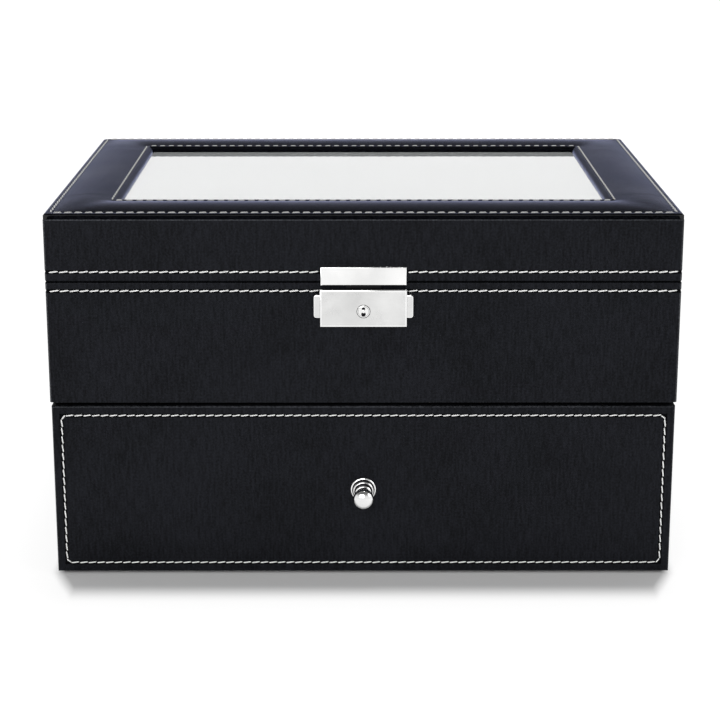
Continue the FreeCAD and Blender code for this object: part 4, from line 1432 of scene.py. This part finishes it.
def floor_finish():
    """A pale floor that keeps the box's shadow, adds a painted shadow of darker grey close round the box,
    and reads white a little way off.
    """
    recipe = Recipe("pale_floor", Roughness=0.9, Specular_IOR_Level=0.0)
    reach = recipe.add("ShaderNodeVectorMath", operation="ABSOLUTE")
    recipe.link(recipe.place, reach.inputs[0])
    axes = recipe.add("ShaderNodeSeparateXYZ")
    recipe.link(reach.outputs["Vector"], axes.inputs["Vector"])
    x = axes.outputs["X"]
    y = axes.outputs["Y"]
    beside = recipe.maths("ADD", x, recipe.spread(y, 0, FLOOR_TAPER, *FLOOR_TAPER_SPAN))
    past_painted_shadow = recipe.maths("MAXIMUM", recipe.spread(beside, 0, FLOOR_FADE, *FLOOR_SIDE),
                        recipe.spread(y, 0, FLOOR_FADE, *FLOOR_FRONT, "SMOOTHSTEP"))
    # Painted shadow: the floor's colour runs from grey by the box to white away from it
    recipe.feed(recipe.tint(past_painted_shadow, FLOOR_PAINTED_SHADOW, FLOOR_WHITE), "Base Color")
    far = past_painted_shadow
    for axis in (x, y):
        far = recipe.maths("MAXIMUM", far, recipe.spread(axis, 0, 1, *FLOOR_FAR))
    path = recipe.add("ShaderNodeLightPath")
    shown = recipe.maths("MAXIMUM", path.outputs["Is Camera Ray"], path.outputs["Is Glossy Ray"])
    glow = recipe.add("ShaderNodeEmission", Strength=FLOOR_GLOW)
    surface = recipe.overlay(recipe.shader.outputs["BSDF"], glow.outputs["Emission"],
                             recipe.maths("MULTIPLY", shown, far))
    recipe.link(surface, recipe.tree.nodes["Material Output"].inputs["Surface"])
    return recipe.material


def white_world(scene):
    """White where the camera and glass see it, darker overhead in reflections, plain light elsewhere."""
    world = bpy.data.worlds.new("white_room")
    scene.world = world
    world.use_nodes = True
    world.node_tree.nodes.clear()
    room = Nodes(world.node_tree)
    light, mirrored, seen = (room.add("ShaderNodeBackground", Color=(1, 1, 1, 1), Strength=strength)
                             for strength in (ROOM_LIGHT, 1, 1))
    axes = room.add("ShaderNodeSeparateXYZ")
    room.link(room.add("ShaderNodeTexCoord").outputs["Generated"], axes.inputs["Vector"])
    overhead = room.spread(axes.outputs["Z"], 1.0, 0.2, 0.25, 0.7, "SMOOTHSTEP")
    room.link(overhead, mirrored.inputs["Strength"])
    path = room.add("ShaderNodeLightPath")
    in_view = room.maths("MAXIMUM", path.outputs["Is Camera Ray"], path.outputs["Is Transmission Ray"])
    surface = room.overlay(light.outputs["Background"], mirrored.outputs["Background"],
                           path.outputs["Is Glossy Ray"])
    surface = room.overlay(surface, seen.outputs["Background"], in_view)
    room.link(surface, room.add("ShaderNodeOutputWorld").inputs["Surface"])


PIECES = (
    WATCHBOX_OT_case_leather, WATCHBOX_OT_lid_leather, WATCHBOX_OT_drawer_leather, WATCHBOX_OT_lid_pad,
    WATCHBOX_OT_stitches, WATCHBOX_OT_pane, WATCHBOX_OT_dividers, WATCHBOX_OT_cushions, WATCHBOX_OT_hasp,
    WATCHBOX_OT_lock, WATCHBOX_OT_knob, WATCHBOX_OT_kept_nodes, WATCHBOX_OT_stage,
)


class WATCHBOX_PT_panel(bpy.types.Panel):
    """Lists the sizes, the colours and the pieces"""
    bl_idname = "WATCHBOX_PT_panel"
    bl_label = "Watch Box"
    bl_space_type = "VIEW_3D"
    bl_region_type = "UI"
    bl_category = "Watch Box"

    def draw(self, context):
        for group in (context.scene.watch_box_sizes, context.scene.watch_box_colours):
            column = self.layout.column(align=True)
            for name in group.__annotations__:
                column.prop(group, name)
        column = self.layout.column(align=True)
        for piece in PIECES:
            column.operator(piece.bl_idname)


CLASSES = (WATCHBOX_PG_sizes, WATCHBOX_PG_colours, *PIECES, WATCHBOX_PT_panel)


def register():
    for cls in CLASSES:
        bpy.utils.register_class(cls)
    bpy.types.Scene.watch_box_sizes = PointerProperty(type=WATCHBOX_PG_sizes)
    bpy.types.Scene.watch_box_colours = PointerProperty(type=WATCHBOX_PG_colours)


def unregister():
    del bpy.types.Scene.watch_box_colours
    del bpy.types.Scene.watch_box_sizes
    for cls in reversed(CLASSES):
        bpy.utils.unregister_class(cls)


def main():
    register()
    make_finishes(bpy.context.scene.watch_box_colours)
    for piece in PIECES:
        group, name = piece.bl_idname.split(".")
        getattr(getattr(bpy.ops, group), name)()
    clear()


if __name__ == "__main__":
    main()
